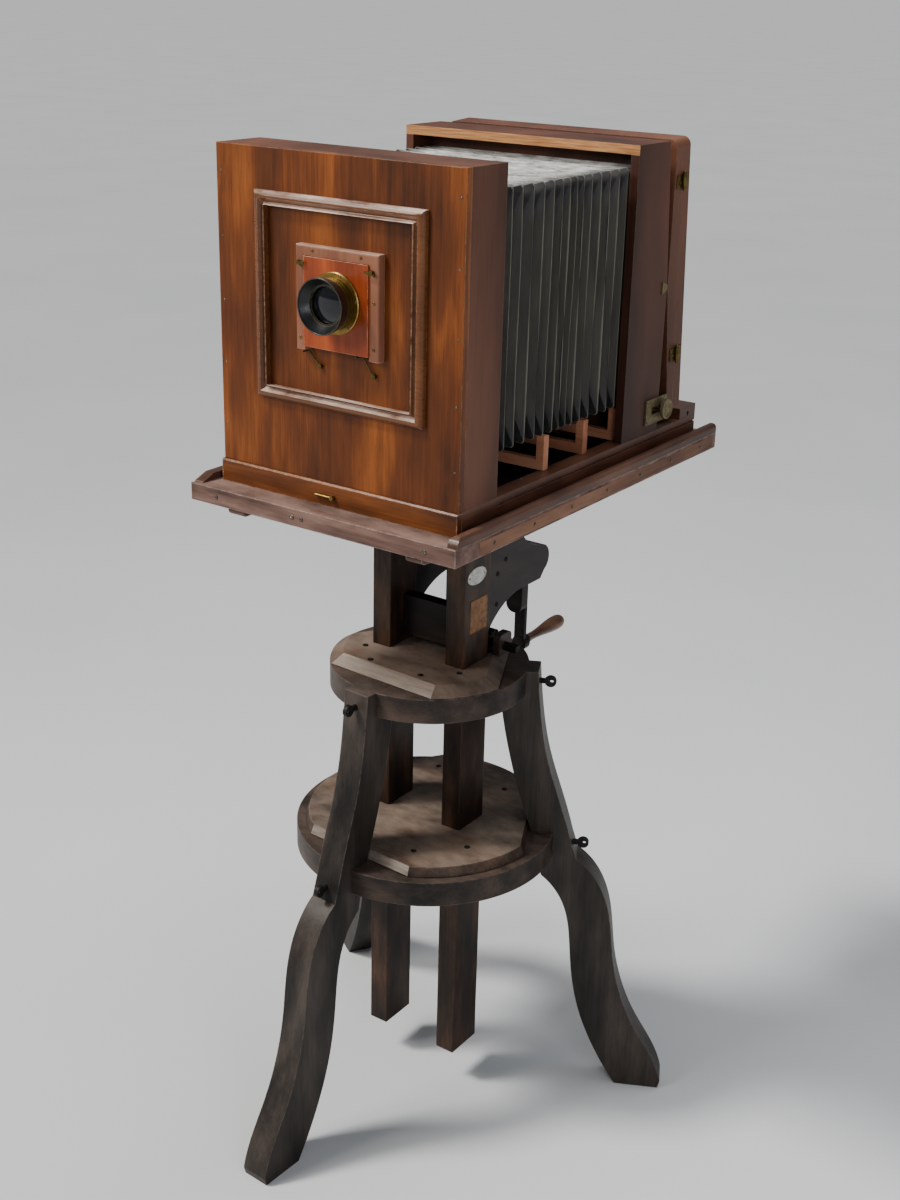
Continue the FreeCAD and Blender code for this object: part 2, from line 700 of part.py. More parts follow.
def make_tilt_bracket():
    """The iron fork below the platform: it hangs on the hinge pin and holds the nut."""
    z1 = PLAT_TOP - PLAT_T
    plate = box(-50, 50, TILT_Y - 45, TILT_Y + 45, z1 - BRACKET_PLATE, z1)
    cheek = box(CHEEK_IN, CHEEK_OUT, TILT_Y - CHEEK_D / 2, TILT_Y + CHEEK_D / 2,
                CHEEK_BOTTOM, z1 - BRACKET_PLATE + 1)
    slot_w = TRUNNION_R + SLOT_EXTRA
    slot = box(CHEEK_IN - 1, CHEEK_OUT + 1, TILT_Y - slot_w, TILT_Y + slot_w,
               SCREW_Z - TRUNNION_R - 4, SCREW_Z + TRUNNION_R + 2)
    cheek = cheek.cut(slot)
    fork = plate.fuse(cheek).fuse(mirrored(cheek))
    fork = fork.cut(cyl_x(TILT_PIN_R + RUN, -60, 60, TILT_Y, TILT_Z))
    save("tilt_bracket", fork.removeSplitter())


# ================= platform and bed =================

def right_rail():
    """The raised edge on the right, with a half-round top and rounded ends."""
    x0 = PLAT_HALF_X - RAIL_W
    z1 = PLAT_TOP + RAIL_RIGHT_H
    bar = box(x0, PLAT_HALF_X, PLAT_FRONT + 4, PLAT_BACK, PLAT_TOP, z1)
    top = [e for e in bar.Edges if e.BoundBox.ZMin > z1 - 0.1 and e.BoundBox.YLength > 10]
    bar = bar.makeFillet(RAIL_W * 0.42, top)
    nose = Part.makeCylinder(RAIL_RIGHT_H, RAIL_W, V(x0, PLAT_FRONT + 4 + RAIL_RIGHT_H, PLAT_TOP),
                             V(1, 0, 0))
    front = box(x0, PLAT_HALF_X, PLAT_FRONT, PLAT_FRONT + 4 + RAIL_RIGHT_H, PLAT_TOP, z1)
    return bar.cut(front.cut(nose))


def left_rail():
    """The lower flat edge on the left, with a sloping front end."""
    x0 = -PLAT_HALF_X
    points = [(RAIL_LEFT_FRONT, PLAT_TOP), (RAIL_LEFT_FRONT + 2, PLAT_TOP + 2),
              (RAIL_LEFT_FRONT + 26, PLAT_TOP + RAIL_LEFT_H),
              (PLAT_BACK - 8, PLAT_TOP + RAIL_LEFT_H), (PLAT_BACK, PLAT_TOP + 4),
              (PLAT_BACK, PLAT_TOP)]
    return side_prism(polygon_yz(points, x0), x0, x0 + RAIL_W)


def batten():
    """The right-hand stiffening bar below the platform, rounded at its front."""
    z1 = PLAT_TOP - PLAT_T
    y0 = PLAT_FRONT + BATTEN_FRONT_GAP
    bar = box(BATTEN_X - BATTEN_W / 2, BATTEN_X + BATTEN_W / 2, y0,
              PLAT_BACK - BATTEN_BACK_GAP, z1 - BATTEN_T, z1)
    front = [e for e in bar.Edges if e.BoundBox.YMax < y0 + 0.1 and e.BoundBox.ZMax < z1 - 1]
    return bar.makeFillet(9.0, front)


def bed_rail():
    """The right-hand rail that the rear of the camera slides on."""
    x0 = BODY_HALF_X - BED_RAIL_W
    z1 = PLAT_TOP + BED_H
    rail = box(x0, BODY_HALF_X, BED_FRONT, BED_BACK, PLAT_TOP, z1)
    groove = box(BODY_HALF_X - BED_GROOVE, BODY_HALF_X + 1, BOX_BACK + 1, BED_BACK + 1,
                 z1 - 14, z1 - 11)
    half = FOCUS_RACK_W / 2 + SKIN
    pocket = box(FOCUS_RACK_X - half, FOCUS_RACK_X + half, rack_start() - 1, BED_BACK + 1,
                 rack_floor(), z1 + 1)
    return cut_all(rail, [groove, pocket])


def rack_floor():
    """The height that the focusing racks lie on."""
    return PLAT_TOP + BED_H - FOCUS_MODULE * 2.2 - 3.5


def rack_start():
    """The front end of the focusing racks."""
    return FOCUS_Y - FOCUS_TRAVEL - 16


def focus_z():
    """Height of the focusing shaft above the racks."""
    return focus_pitch_line() + FOCUS_MODULE * FOCUS_TEETH / 2


def focus_pitch_line():
    """Height of the focusing racks' pitch line, with the tips just below the rails' tops."""
    return PLAT_TOP + BED_H - 0.3 - FOCUS_MODULE


def focus_rack():
    """The right-hand toothed bar let into the bed rail."""
    root, teeth = rack_teeth(FOCUS_MODULE, focus_pitch_line(), rack_start(), BED_BACK,
                             FOCUS_Y, 1)
    points = [(rack_start(), rack_floor()), (rack_start(), root)]
    points += teeth
    points += [(BED_BACK, root), (BED_BACK, rack_floor())]
    x0 = FOCUS_RACK_X - FOCUS_RACK_W / 2
    return side_prism(polygon_yz(points, x0), x0, x0 + FOCUS_RACK_W)


def make_platform():
    """The table, its edge rails and battens, and the camera's bed."""
    board = box(-PLAT_HALF_X, PLAT_HALF_X, PLAT_FRONT, PLAT_BACK, PLAT_TOP - PLAT_T, PLAT_TOP)
    save("platform_board", board)
    save("edge_rails", Part.makeCompound([right_rail(), left_rail()]))
    save("platform_battens", pair(batten()))
    save("bed_rails", pair(bed_rail()))
    inner = BODY_HALF_X - BED_RAIL_W
    save("bed_floor", box(-inner, inner, BED_FRONT, BED_BACK, PLAT_TOP, PLAT_TOP + BED_FLOOR_T))
    save("focus_racks", pair(focus_rack()))
    cleat = box(-BODY_HALF_X - 1, BODY_HALF_X + 1, CLEAT_FRONT, BED_FRONT, PLAT_TOP,
                PLAT_TOP + CLEAT_H)
    edge = [e for e in cleat.Edges
            if e.BoundBox.ZMin > PLAT_TOP + 1 and e.BoundBox.YMax < CLEAT_FRONT + 1
            and e.BoundBox.XLength > 10]
    save("front_cleat", cleat.makeChamfer(2.0, edge))


# ================= front of the camera =================

def make_front():
    """The front box, its panel, the raised moulding and the lens board's holder."""
    z0 = PLAT_TOP + BED_H
    panel_back = PANEL_FRONT + PANEL_T
    outer = box(-BODY_HALF_X, BODY_HALF_X, panel_back, BOX_BACK, z0, BODY_TOP)
    inner = box(-BODY_HALF_X + WALL, BODY_HALF_X - WALL, panel_back - 1, BOX_BACK + 1,
                z0 + WALL, BODY_TOP - WALL)
    save("front_box", outer.cut(inner))
    panel = box(-BODY_HALF_X, BODY_HALF_X, PANEL_FRONT, panel_back, PLAT_TOP + CLEAT_H, BODY_TOP)
    hole = cyl_y(LENS_HOLE_R, PANEL_FRONT - 1, panel_back + 1, LENS_X, LENS_Z)
    panel = cut_all(panel, [hole, box(-BODY_HALF_X - 1, BODY_HALF_X + 1, BED_FRONT, panel_back + 1,
                                      PLAT_TOP, z0)])
    save("front_panel", panel)
    save("panel_moulding", moulding())
    save("lens_frame", lens_frame())
    half = LENS_BOARD_HALF_X
    y1 = PANEL_FRONT
    low = LENS_Z - HOLDER_HALF + LENS_BOARD_DROP
    board = box(LENS_X - half, LENS_X + half, y1 - LENS_BOARD_T, y1, low,
                LENS_Z + HOLDER_HALF - HOLDER_TOP_BAR - SKIN)
    save("lens_board", board.cut(cyl_y(BARREL_R - 8, y1 - 40, y1 + 1, LENS_X, LENS_Z)))


def moulding():
    """Four mitred bars with a stepped, rounded section, standing on the panel."""
    section = [(0, 0), (0, 5), (5, 8), (7, MOULD_T - 2), (10, MOULD_T), (14, MOULD_T - 1),
               (17, 5), (MOULD_BAR, 3), (MOULD_BAR, 0)]
    bars = []
    for turn in range(4):
        upright = turn % 2 == 0
        reach = MOULD_HALF_W if upright else MOULD_HALF_H
        along = MOULD_HALF_H if upright else MOULD_HALF_W
        points = [V(reach - a, PANEL_FRONT - t, -along) for a, t in section]
        points.append(points[0])
        bar = Part.Face(Part.makePolygon(points)).extrude(V(0, 0, 2 * along))
        for end in (1, -1):
            corner = V(reach, 0, end * along)
            mitre = [corner + V(1, -30, end), corner + V(1, 30, end),
                     corner + V(-60, 30, -end * 60) + V(0, 0, end),
                     corner + V(-60, -30, -end * 60) + V(0, 0, end)]
            mitre.append(mitre[0])
            wedge = Part.Face(Part.makePolygon(mitre)).extrude(V(0, 0, end * 130))
            bar = bar.cut(wedge)
        bar.rotate(V(0, 0, 0), V(0, 1, 0), 90 * turn)
        bar.translate(V(MOULD_X, 0, MOULD_Z))
        bars.append(bar)
    return Part.makeCompound(bars)


def lens_frame():
    """The holder: a bar above and one each side of the lens board, open below."""
    y0 = PANEL_FRONT - HOLDER_T
    outer = box(LENS_X - HOLDER_HALF, LENS_X + HOLDER_HALF, y0, PANEL_FRONT,
                LENS_Z - HOLDER_HALF, LENS_Z + HOLDER_HALF)
    edges = [e for e in outer.Edges
             if e.BoundBox.YMax < y0 + 0.1 and e.BoundBox.ZMax > LENS_Z - HOLDER_HALF + 1]
    outer = outer.makeFillet(3.0, edges)
    half = LENS_BOARD_HALF_X + SKIN
    gap = box(LENS_X - half, LENS_X + half, y0 - 1, PANEL_FRONT + 1, LENS_Z - HOLDER_HALF - 1,
              LENS_Z + HOLDER_HALF - HOLDER_TOP_BAR)
    return outer.cut(gap)


# ================= lens =================

def make_lens():
    """Flange, barrel, hood and glasses on one axis."""
    y = PANEL_FRONT - LENS_BOARD_T
    flange = revolve_y([(y, BARREL_R - 9), (y, FLANGE_R), (y - FLANGE_T + 1, FLANGE_R),
                        (y - FLANGE_T, FLANGE_R - 1.5), (y - FLANGE_T, BARREL_R - 9)],
                       LENS_X, LENS_Z)
    save("lens_flange", flange)
    y1 = y - FLANGE_T
    hood_back = HOOD_FRONT + HOOD_LEN
    barrel = revolve_y([(y1, BARREL_R - 9), (y1, BARREL_R + 3), (y1 - 5, BARREL_R + 3),
                        (y1 - 6, BARREL_R), (hood_back, BARREL_R), (hood_back, HOOD_R - 10),
                        (hood_back - 4, HOOD_R - 10), (hood_back - 4, BARREL_R - 9)],
                       LENS_X, LENS_Z)
    save("lens_barrel", barrel)
    hood = revolve_y([(hood_back, HOOD_R - 10), (hood_back, HOOD_R - 3),
                      (hood_back - 3, HOOD_R - 1), (HOOD_FRONT + 3, HOOD_R - 1),
                      (HOOD_FRONT + 2, HOOD_R), (HOOD_FRONT, HOOD_R),
                      (HOOD_FRONT, HOOD_R - 2.5), (hood_back - 4.5, HOOD_R - 10)],
                     LENS_X, LENS_Z)
    save("lens_hood", hood)
    front = lens_element(hood_back + 1, 1)
    rear = lens_element(PANEL_FRONT - 6, -1)
    save("lens_glasses", Part.makeCompound([front, rear]))


def lens_element(y, facing):
    """A glass that bulges towards -Y (facing = 1) or +Y (facing = -1) and is flat behind."""
    sphere_r = (GLASS_R ** 2 + GLASS_BULGE ** 2) / (2 * GLASS_BULGE)
    centre = V(LENS_X, y + facing * (sphere_r - GLASS_BULGE), LENS_Z)
    blank = cyl_y(GLASS_R, y - GLASS_BULGE - 1, y + GLASS_BULGE + 1, LENS_X, LENS_Z)
    flat_y = y + facing * GLASS_BULGE
    keep = box(LENS_X - GLASS_R - 1, LENS_X + GLASS_R + 1, min(flat_y, y - facing * 20),
               max(flat_y, y - facing * 20), LENS_Z - GLASS_R - 1, LENS_Z + GLASS_R + 1)
    return blank.common(keep).common(Part.makeSphere(sphere_r, centre))


# ================= catches =================

def turn_button(x, z, y_seat, side):
    """A brass turn button: a screw head with a short arm over the lens board."""
    head = cyl_y(CATCH_R * 1.6, y_seat - 5, y_seat - SKIN, x, z)
    arm = box(min(x, x + side * CATCH_ARM), max(x, x + side * CATCH_ARM), y_seat - 4.6,
              y_seat - 3.2, z - CATCH_R, z + CATCH_R)
    return head.fuse(arm)


def hook(x, z, reach_x, reach_z):
    """A wire hook that hangs from an eye on the panel and grips the board's lower edge."""
    eye = cyl_y(CATCH_R * 1.6, PANEL_FRONT - 6, PANEL_FRONT - SKIN, x, z)
    length = math.hypot(reach_x, reach_z)
    rod = Part.makeCylinder(CATCH_R * 0.6, length, V(x, PANEL_FRONT - 4, z),
                            V(reach_x, 0, reach_z))
    tip_y = PANEL_FRONT - LENS_BOARD_T - 2.6
    tip = cyl_y(CATCH_R * 0.55, tip_y, PANEL_FRONT - 4, x + reach_x, z + reach_z)
    elbow = Part.makeSphere(CATCH_R * 0.8, V(x + reach_x, PANEL_FRONT - 4, z + reach_z))
    return eye.fuse(rod).fuse(elbow).fuse(tip)


def make_catches():
    """Two turn buttons above, two hooks below, and the latch on the front cleat."""
    y_frame = PANEL_FRONT - HOLDER_T
    bar_mid = HOLDER_HALF - HOLDER_BAR / 2
    seat = PANEL_FRONT - LENS_BOARD_T
    z = LENS_Z + HOLDER_HALF - HOLDER_TOP_BAR - 10
    for name, side in (("catch_upper_left", -1), ("catch_upper_right", 1)):
        x = LENS_X + side * (bar_mid - 1)
        button = turn_button(x, z, seat, -side)
        foot = cyl_y(CATCH_R, seat - SKIN - 0.2, y_frame - SKIN, x, z)
        save(name, button.fuse(foot))
    low = LENS_Z - HOLDER_HALF + LENS_BOARD_DROP
    frame_low = LENS_Z - HOLDER_HALF
    for name, x, top in (("catch_lower_left", LENS_X + HOOK_LEFT_X, frame_low),
                         ("catch_lower_right", LENS_X + HOOK_RIGHT_X, low)):
        reach_z = top - (low - HOOK_LEN) - CATCH_R
        save(name, hook(x, low - HOOK_LEN, -HOOK_REACH, reach_z))
    z = PLAT_TOP + CLEAT_H * 0.45
    y0 = CLEAT_FRONT
    rod = cyl_x(CATCH_R * 0.8, LATCH_X - LATCH_LEN / 2, LATCH_X + LATCH_LEN / 2, y0 - 4, z)
    eye = cyl_y(CATCH_R * 1.7, y0 - 7, y0 - SKIN, LATCH_X + LATCH_LEN / 2, z)
    tip = cyl_y(CATCH_R * 0.7, y0 - 6, y0 - SKIN, LATCH_X - LATCH_LEN / 2 + 1, z)
    save("cleat_latch", rod.fuse(eye).fuse(tip))


# ================= bellows =================

def make_bellows():
    """The plain closed sleeve of the bellows, and the three slats below it."""
    outer = box(-BELLOWS_HALF_X, BELLOWS_HALF_X, BOX_BACK, BELLOWS_BACK, BELLOWS_BOTTOM,
                BELLOWS_TOP)
    t = BELLOWS_WALL
    inner = box(-BELLOWS_HALF_X + t, BELLOWS_HALF_X - t, BOX_BACK - 1, BELLOWS_BACK + 1,
                BELLOWS_BOTTOM + t, BELLOWS_TOP - t)
    save("bellows", outer.cut(inner))
    z0 = PLAT_TOP + BED_H + SKIN
    for name, y in SUPPORT_PLACES.items():
        half = SUPPORT_D / 2
        bar = box(-SUPPORT_HALF_X, SUPPORT_HALF_X, y - half, y + half, z0, z0 + SUPPORT_BAR_H)
        upright = box(SUPPORT_HALF_X - SUPPORT_D, SUPPORT_HALF_X, y - half, y + half, z0,
                      BELLOWS_BOTTOM - 1)
        save(name, bar.fuse(upright).fuse(mirrored(upright)).removeSplitter())


# ================= rear box on its carriage =================

def rear_box():
    """The rear box with a V-shaped back edge and the frame that holds the bellows."""
    z0 = PLAT_TOP + BED_H + SKIN
    points = [(REAR_FRONT, z0), (REAR_BACK_LOW, z0), (REAR_BACK_MID, SWING_Z),
              (REAR_BACK_TOP, REAR_TOP), (REAR_FRONT, REAR_TOP)]
    half = BODY_HALF_X
    outer = side_prism(polygon_yz(points, -half), -half, half)
    inner = half - WALL
    hollow = box(-inner, inner, REAR_FRONT - 1, REAR_BACK_MID + 1, z0 - 1, REAR_TOP - WALL)
    frame = box(-inner, inner, BELLOWS_BACK, BELLOWS_BACK + REAR_FRAME_T,
                PLAT_TOP + BED_H + SKIN, REAR_TOP - WALL)
    frame = frame.cut(box(-inner + REAR_FRAME_IN, inner - REAR_FRAME_IN, BELLOWS_BACK - 1,
                          BELLOWS_BACK + 20, BELLOWS_BOTTOM + BELLOWS_WALL,
                          BELLOWS_TOP - BELLOWS_WALL))
    sill = box(-inner, inner, BELLOWS_BACK, REAR_BACK_LOW, z0, PLAT_TOP + REAR_SILL)
    slot_z = LOCK_SCREW_R + LOCK_SLOT_GAP
    slot = box(inner - 1, half + 1, LOCK_Y - LOCK_TRAVEL - LOCK_SCREW_R, REAR_BACK_MID + 1,
               LOCK_Z - slot_z, LOCK_Z + slot_z)
    return outer.cut(hollow).fuse(frame).fuse(sill).cut(slot).removeSplitter()


def carriage():
    """The tongue between the bed rails and the tail that rests on them."""
    inner = BODY_HALF_X - BED_RAIL_W - SLIDE
    z_low = PLAT_TOP + BED_FLOOR_T + SKIN
    z_rail = PLAT_TOP + BED_H + SKIN
    tongue = box(-inner, inner, BELLOWS_BACK, BED_BACK, z_low, z_rail)
    tail = box(-BODY_HALF_X, BODY_HALF_X, TAIL_FRONT, BED_BACK, z_rail, TAIL_TOP)
    body = tongue.fuse(tail)
    z = focus_z()
    reach = FOCUS_MODULE * (FOCUS_TEETH / 2 + 1) + 1
    half = FOCUS_RACK_W / 2 + 1.2
    pocket = box(FOCUS_RACK_X - half, FOCUS_RACK_X + half, FOCUS_Y - reach, FOCUS_Y + reach,
                 z_rail - 1, z + reach)
    bore = cyl_x(FOCUS_SHAFT_R + RUN, -BODY_HALF_X - 1, BODY_HALF_X + 1, FOCUS_Y, z)
    return cut_all(body, [pocket, mirrored(pocket), bore]).removeSplitter()


def swing_plates():
    """Bow-tie pivot plates on both sides, and the slotted plate of the lock."""
    x = BODY_HALF_X
    back = REAR_BACK_MID - 1
    points = [(back - 18, SWING_Z - 11), (back - 2, SWING_Z - 4), (back, SWING_Z),
              (back - 2, SWING_Z + 4), (back - 18, SWING_Z + 11)]
    plate = side_prism(polygon_yz(points, x), x, x + 2)
    y1 = LOCK_PLATE_END
    lock = box(x, x + LOCK_PLATE_T, LOCK_PLATE_Y, y1, LOCK_PLATE_Z[0], LOCK_PLATE_Z[1])
    slot_z = LOCK_SCREW_R + LOCK_SLOT_GAP
    y0 = LOCK_Y - LOCK_TRAVEL - LOCK_SCREW_R
    slot = box(x - 1, x + 9, y0, LOCK_Y + LOCK_SCREW_R + 1.5, LOCK_Z - slot_z, LOCK_Z + slot_z)
    return Part.makeCompound([plate, mirrored(plate), lock.cut(slot)])


def make_rear():
    """Rear box, carriage, plates and the focusing shaft with its knob."""
    save("rear_box", rear_box())
    save("carriage", carriage())
    save("swing_plates", swing_plates())
    z = focus_z()
    shaft = cyl_x(FOCUS_SHAFT_R, -BODY_HALF_X - 12, FOCUS_RACK_X + 8, FOCUS_Y, z)
    gear = involute_tooth_gear(FOCUS_MODULE, FOCUS_TEETH, FOCUS_RACK_W, 0,
                               (FOCUS_RACK_X, FOCUS_Y, z), -math.pi / 2)
    save("focus_shaft", shaft.fuse(gear).fuse(mirrored(gear)))
    x1 = -BODY_HALF_X - 1
    knob = cyl_x(FOCUS_KNOB_R, x1 - 9, x1, FOCUS_Y, z).fuse(
        cyl_x(FOCUS_KNOB_R * 0.55, x1 - 13, x1 - 8, FOCUS_Y, z))
    save("focus_knob", knob.cut(cyl_x(FOCUS_SHAFT_R, -BODY_HALF_X - 12, x1 + 1, FOCUS_Y, z)))


# ================= swing back =================

def back_frame():
    """The leaning frame with a V-shaped front edge and a lug for the lock screw."""
    half = BODY_HALF_X
    points = [(BACK_FRONT_EDGE, BACK_BOTTOM), (BACK_SPLIT, BACK_BOTTOM), (BACK_SPLIT, REAR_TOP),
              (BACK_FRONT_EDGE, REAR_TOP), (BACK_FRONT_MID, SWING_Z)]
    outer = side_prism(polygon_yz(points, -half), -half, half)
    ends = [e for e in outer.Edges if e.BoundBox.ZMin > REAR_TOP - 0.1 and e.BoundBox.YLength > 5
            and e.BoundBox.XLength < 1]
    outer = outer.makeFillet(BACK_CORNER_R, ends)
    hole = box(-BACK_OPEN_X, BACK_OPEN_X, BACK_FRONT_MID - 5, BACK_SPLIT + 1,
               SWING_Z + 8 - BACK_OPEN_Z, SWING_Z + 8 + BACK_OPEN_Z)
    return outer.cut(hole)


def lock_lug():
    """The arm from the swing back that carries the lock screw inside the rear box."""
    x1 = BODY_HALF_X - WALL - SKIN
    y, z = unswing(LOCK_Y, LOCK_Z)
    lug = box(x1 - 14, x1, y - 12, LUG_BACK, z - 10, z + 10)
    return lug.cut(cyl_x(LOCK_SCREW_R + RUN, x1 - 20, x1 + 5, y, z))


def unswing(y, z):
    """A (y, z) place at rest, turned back into the upright drawing of the swing back."""
    a = math.radians(-SWING_REST)
    dy = y - SWING_Y
    dz = z - SWING_Z
    return (SWING_Y + dy * math.cos(a) - dz * math.sin(a),
            SWING_Z + dy * math.sin(a) + dz * math.cos(a))


def glass_frame():
    """The hinged frame that holds the focusing screen."""
    half = BODY_HALF_X
    outer = box(-half, half, BACK_SPLIT + SKIN, BACK_REAR, BACK_BOTTOM, REAR_TOP)
    ends = [e for e in outer.Edges if e.BoundBox.ZMin > REAR_TOP - 0.1 and e.BoundBox.YLength > 5]
    outer = outer.makeFillet(BACK_CORNER_R, ends)
    z = SWING_Z + 8
    hole = box(-BACK_OPEN_X, BACK_OPEN_X, BACK_SPLIT, BACK_REAR + 1, z - BACK_OPEN_Z,
               z + BACK_OPEN_Z)
    wide = BACK_OPEN_X + GLASS_REBATE
    rebate = box(-wide, wide, BACK_SPLIT, BACK_SPLIT + SKIN + GLASS_T + 2,
                 z - BACK_OPEN_Z - GLASS_REBATE, z + BACK_OPEN_Z + GLASS_REBATE)
    return cut_all(outer, [hole, rebate])


def ground_glass():
    """The focusing screen in its rebate."""
    wide = BACK_OPEN_X + GLASS_REBATE - 0.5
    tall = BACK_OPEN_Z + GLASS_REBATE - 0.5
    y1 = BACK_SPLIT + SKIN + GLASS_T + 2
    return box(-wide, wide, y1 - GLASS_T, y1, SWING_Z + 8 - tall, SWING_Z + 8 + tall)


def hinge_line():
    """Where the hinge pins stand beside the swing back: (x, y) before leaning."""
    return BODY_HALF_X + HINGE_KNUCKLE_R + 0.2, BACK_SPLIT + SKIN / 2


def hinge_half(z, lower):
    """One leaf with its knuckle: the lower one carries the pin, the upper one lifts off."""
    x, y = hinge_line()
    h = HINGE_LEAF_H / 2
    z0, z1 = (z - h, z - 0.15) if lower else (z + 0.15, z + h)
    knuckle = cyl_z(HINGE_KNUCKLE_R, z0, z1, x, y)
    side = -1 if lower else 1
    y0 = min(y + side * 1.0, y + side * HINGE_LEAF_W)
    leaf = box(BODY_HALF_X, BODY_HALF_X + HINGE_LEAF_T, y0, y0 + HINGE_LEAF_W - 1, z - h, z + h)
    near = cyl_z(HINGE_KNUCKLE_R + SKIN, z - h - 1, z + h + 1, x, y)
    leaf = leaf.cut(near)
    strap = box(BODY_HALF_X, x, min(y, y + side * 6), max(y, y + side * 6), z0, z1)
    strap = strap.common(box(BODY_HALF_X, BODY_HALF_X + HINGE_LEAF_T, y - 9, y + 9, z0, z1))
    body = knuckle.fuse(strap).fuse(leaf)
    if lower:
        pin = cyl_z(HINGE_PIN_R, z0, z + h - 3, x, y)
        finial = Part.makeSphere(HINGE_KNUCKLE_R * 0.8, V(x, y, z0 - HINGE_KNUCKLE_R * 0.5))
        return body.fuse(pin).fuse(finial)
    bore = cyl_z(HINGE_PIN_R + RUN, z0 - 1, z1 - 2.4, x, y)
    finial = Part.makeSphere(HINGE_KNUCKLE_R * 0.8, V(x, y, z1 + HINGE_KNUCKLE_R * 0.5))
    return body.fuse(finial).cut(bore)


def lock_knob():
    """The milled knob and the screw that clamps the swing back."""
    x0 = BODY_HALF_X + LOCK_PLATE_T + SKIN
    inner = BODY_HALF_X - WALL - SKIN - 12
    knob = cyl_x(LOCK_KNOB_R, x0 + 6, x0 + 14, LOCK_Y, LOCK_Z)
    neck = cyl_x(LOCK_KNOB_R * 0.55, x0, x0 + 7, LOCK_Y, LOCK_Z)
    screw = cyl_x(LOCK_SCREW_R, inner, x0 + 1, LOCK_Y, LOCK_Z)
    return knob.fuse(neck).fuse(screw)


def make_swing_back():
    """Swing back, focusing screen, hinges and the lock knob."""
    save("back_frame", swung(back_frame().fuse(lock_lug()).removeSplitter()))
    save("glass_frame", swung(glass_frame()))
    save("ground_glass", swung(ground_glass()))
    save("hinge_pintles", swung(Part.makeCompound([hinge_half(z, True) for z in HINGE_CENTRES])))
    save("hinge_leaves", swung(Part.makeCompound([hinge_half(z, False) for z in HINGE_CENTRES])))
    save("lock_knob", lock_knob())


def main():
    os.makedirs("parts", exist_ok=True)
    make_stand()
    make_lift_shaft()
    make_column()
    make_tilt_screw()
    make_tilt_nut()
    make_tilt_bracket()
    make_platform()
    make_front()
    make_lens()
    make_catches()
    make_bellows()
    make_rear()
    make_swing_back()


main()
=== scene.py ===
"""Looks of an old wooden studio bellows camera on its three-legged stand.

Metres, +Z up, lens along -Y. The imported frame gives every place; this script adds the pleated
bellows, the turned brass, mouldings, screws and plates, and gives every piece its finish.
"""

import logging
import math
from dataclasses import dataclass
from enum import Enum
from typing import Any, Callable, Optional, Sequence

import bpy
import numpy as np
from mathutils import Matrix, Vector


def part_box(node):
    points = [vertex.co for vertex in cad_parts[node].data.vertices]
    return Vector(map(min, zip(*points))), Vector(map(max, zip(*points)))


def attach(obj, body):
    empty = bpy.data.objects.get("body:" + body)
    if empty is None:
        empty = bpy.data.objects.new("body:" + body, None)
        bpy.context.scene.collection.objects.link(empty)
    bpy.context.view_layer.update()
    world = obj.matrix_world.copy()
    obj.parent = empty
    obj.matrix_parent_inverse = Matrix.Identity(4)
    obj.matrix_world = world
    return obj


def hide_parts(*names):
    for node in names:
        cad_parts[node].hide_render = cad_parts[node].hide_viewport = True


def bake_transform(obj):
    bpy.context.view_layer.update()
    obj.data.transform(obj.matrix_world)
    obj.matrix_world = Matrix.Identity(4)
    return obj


logging.basicConfig(level=logging.INFO, format="%(message)s")
LOG = logging.getLogger("camera")

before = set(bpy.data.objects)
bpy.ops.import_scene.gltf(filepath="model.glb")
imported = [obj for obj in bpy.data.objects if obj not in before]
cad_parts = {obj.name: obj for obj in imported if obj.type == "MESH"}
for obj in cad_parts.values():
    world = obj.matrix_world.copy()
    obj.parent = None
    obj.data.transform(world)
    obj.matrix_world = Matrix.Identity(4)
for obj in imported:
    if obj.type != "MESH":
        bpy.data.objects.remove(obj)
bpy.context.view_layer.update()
MM = 0.001
MID_X, MID_Y = -0.011, -0.0315  # the upright line through the stand's decks and the column, metres
Socket = Any


class Axis(Enum):
    """An axis of the row frame."""

    X = 0
    Y = 1
    Z = 2


# ---------------------------------------------------------------- nodes and colours

def linear(hex_colour: str) -> tuple[float, float, float, float]:
    """Turns an sRGB hex colour into linear RGBA.

    Args:
        hex_colour: six hex digits, with or without a leading hash.

    Returns:
        Linear red, green, blue and an alpha of one.
    """
    text = hex_colour.lstrip("#")
    parts = [int(text[i:i + 2], 16) / 255 for i in (0, 2, 4)]
    low = [c / 12.92 if c <= 0.04045 else ((c + 0.055) / 1.055) ** 2.4 for c in parts]
    return (low[0], low[1], low[2], 1.0)


def add(tree: bpy.types.NodeTree, kind: str, inputs: Optional[dict] = None,
        **settings: Any) -> bpy.types.Node:
    """Adds a node with its settings, values and links.

    Args:
        tree: the material's node tree.
        kind: the node's type name without the ShaderNode prefix.
        inputs: socket name or number to a value or to another node's output.
        **settings: attributes of the node itself.

    Returns:
        The new node.
    """
    node = tree.nodes.new("ShaderNode" + kind)
    for name, value in settings.items():
        setattr(node, name, value)
    for key, value in (inputs or {}).items():
        if isinstance(value, bpy.types.NodeSocket):
            tree.links.new(value, node.inputs[key])
        else:
            node.inputs[key].default_value = value
    return node


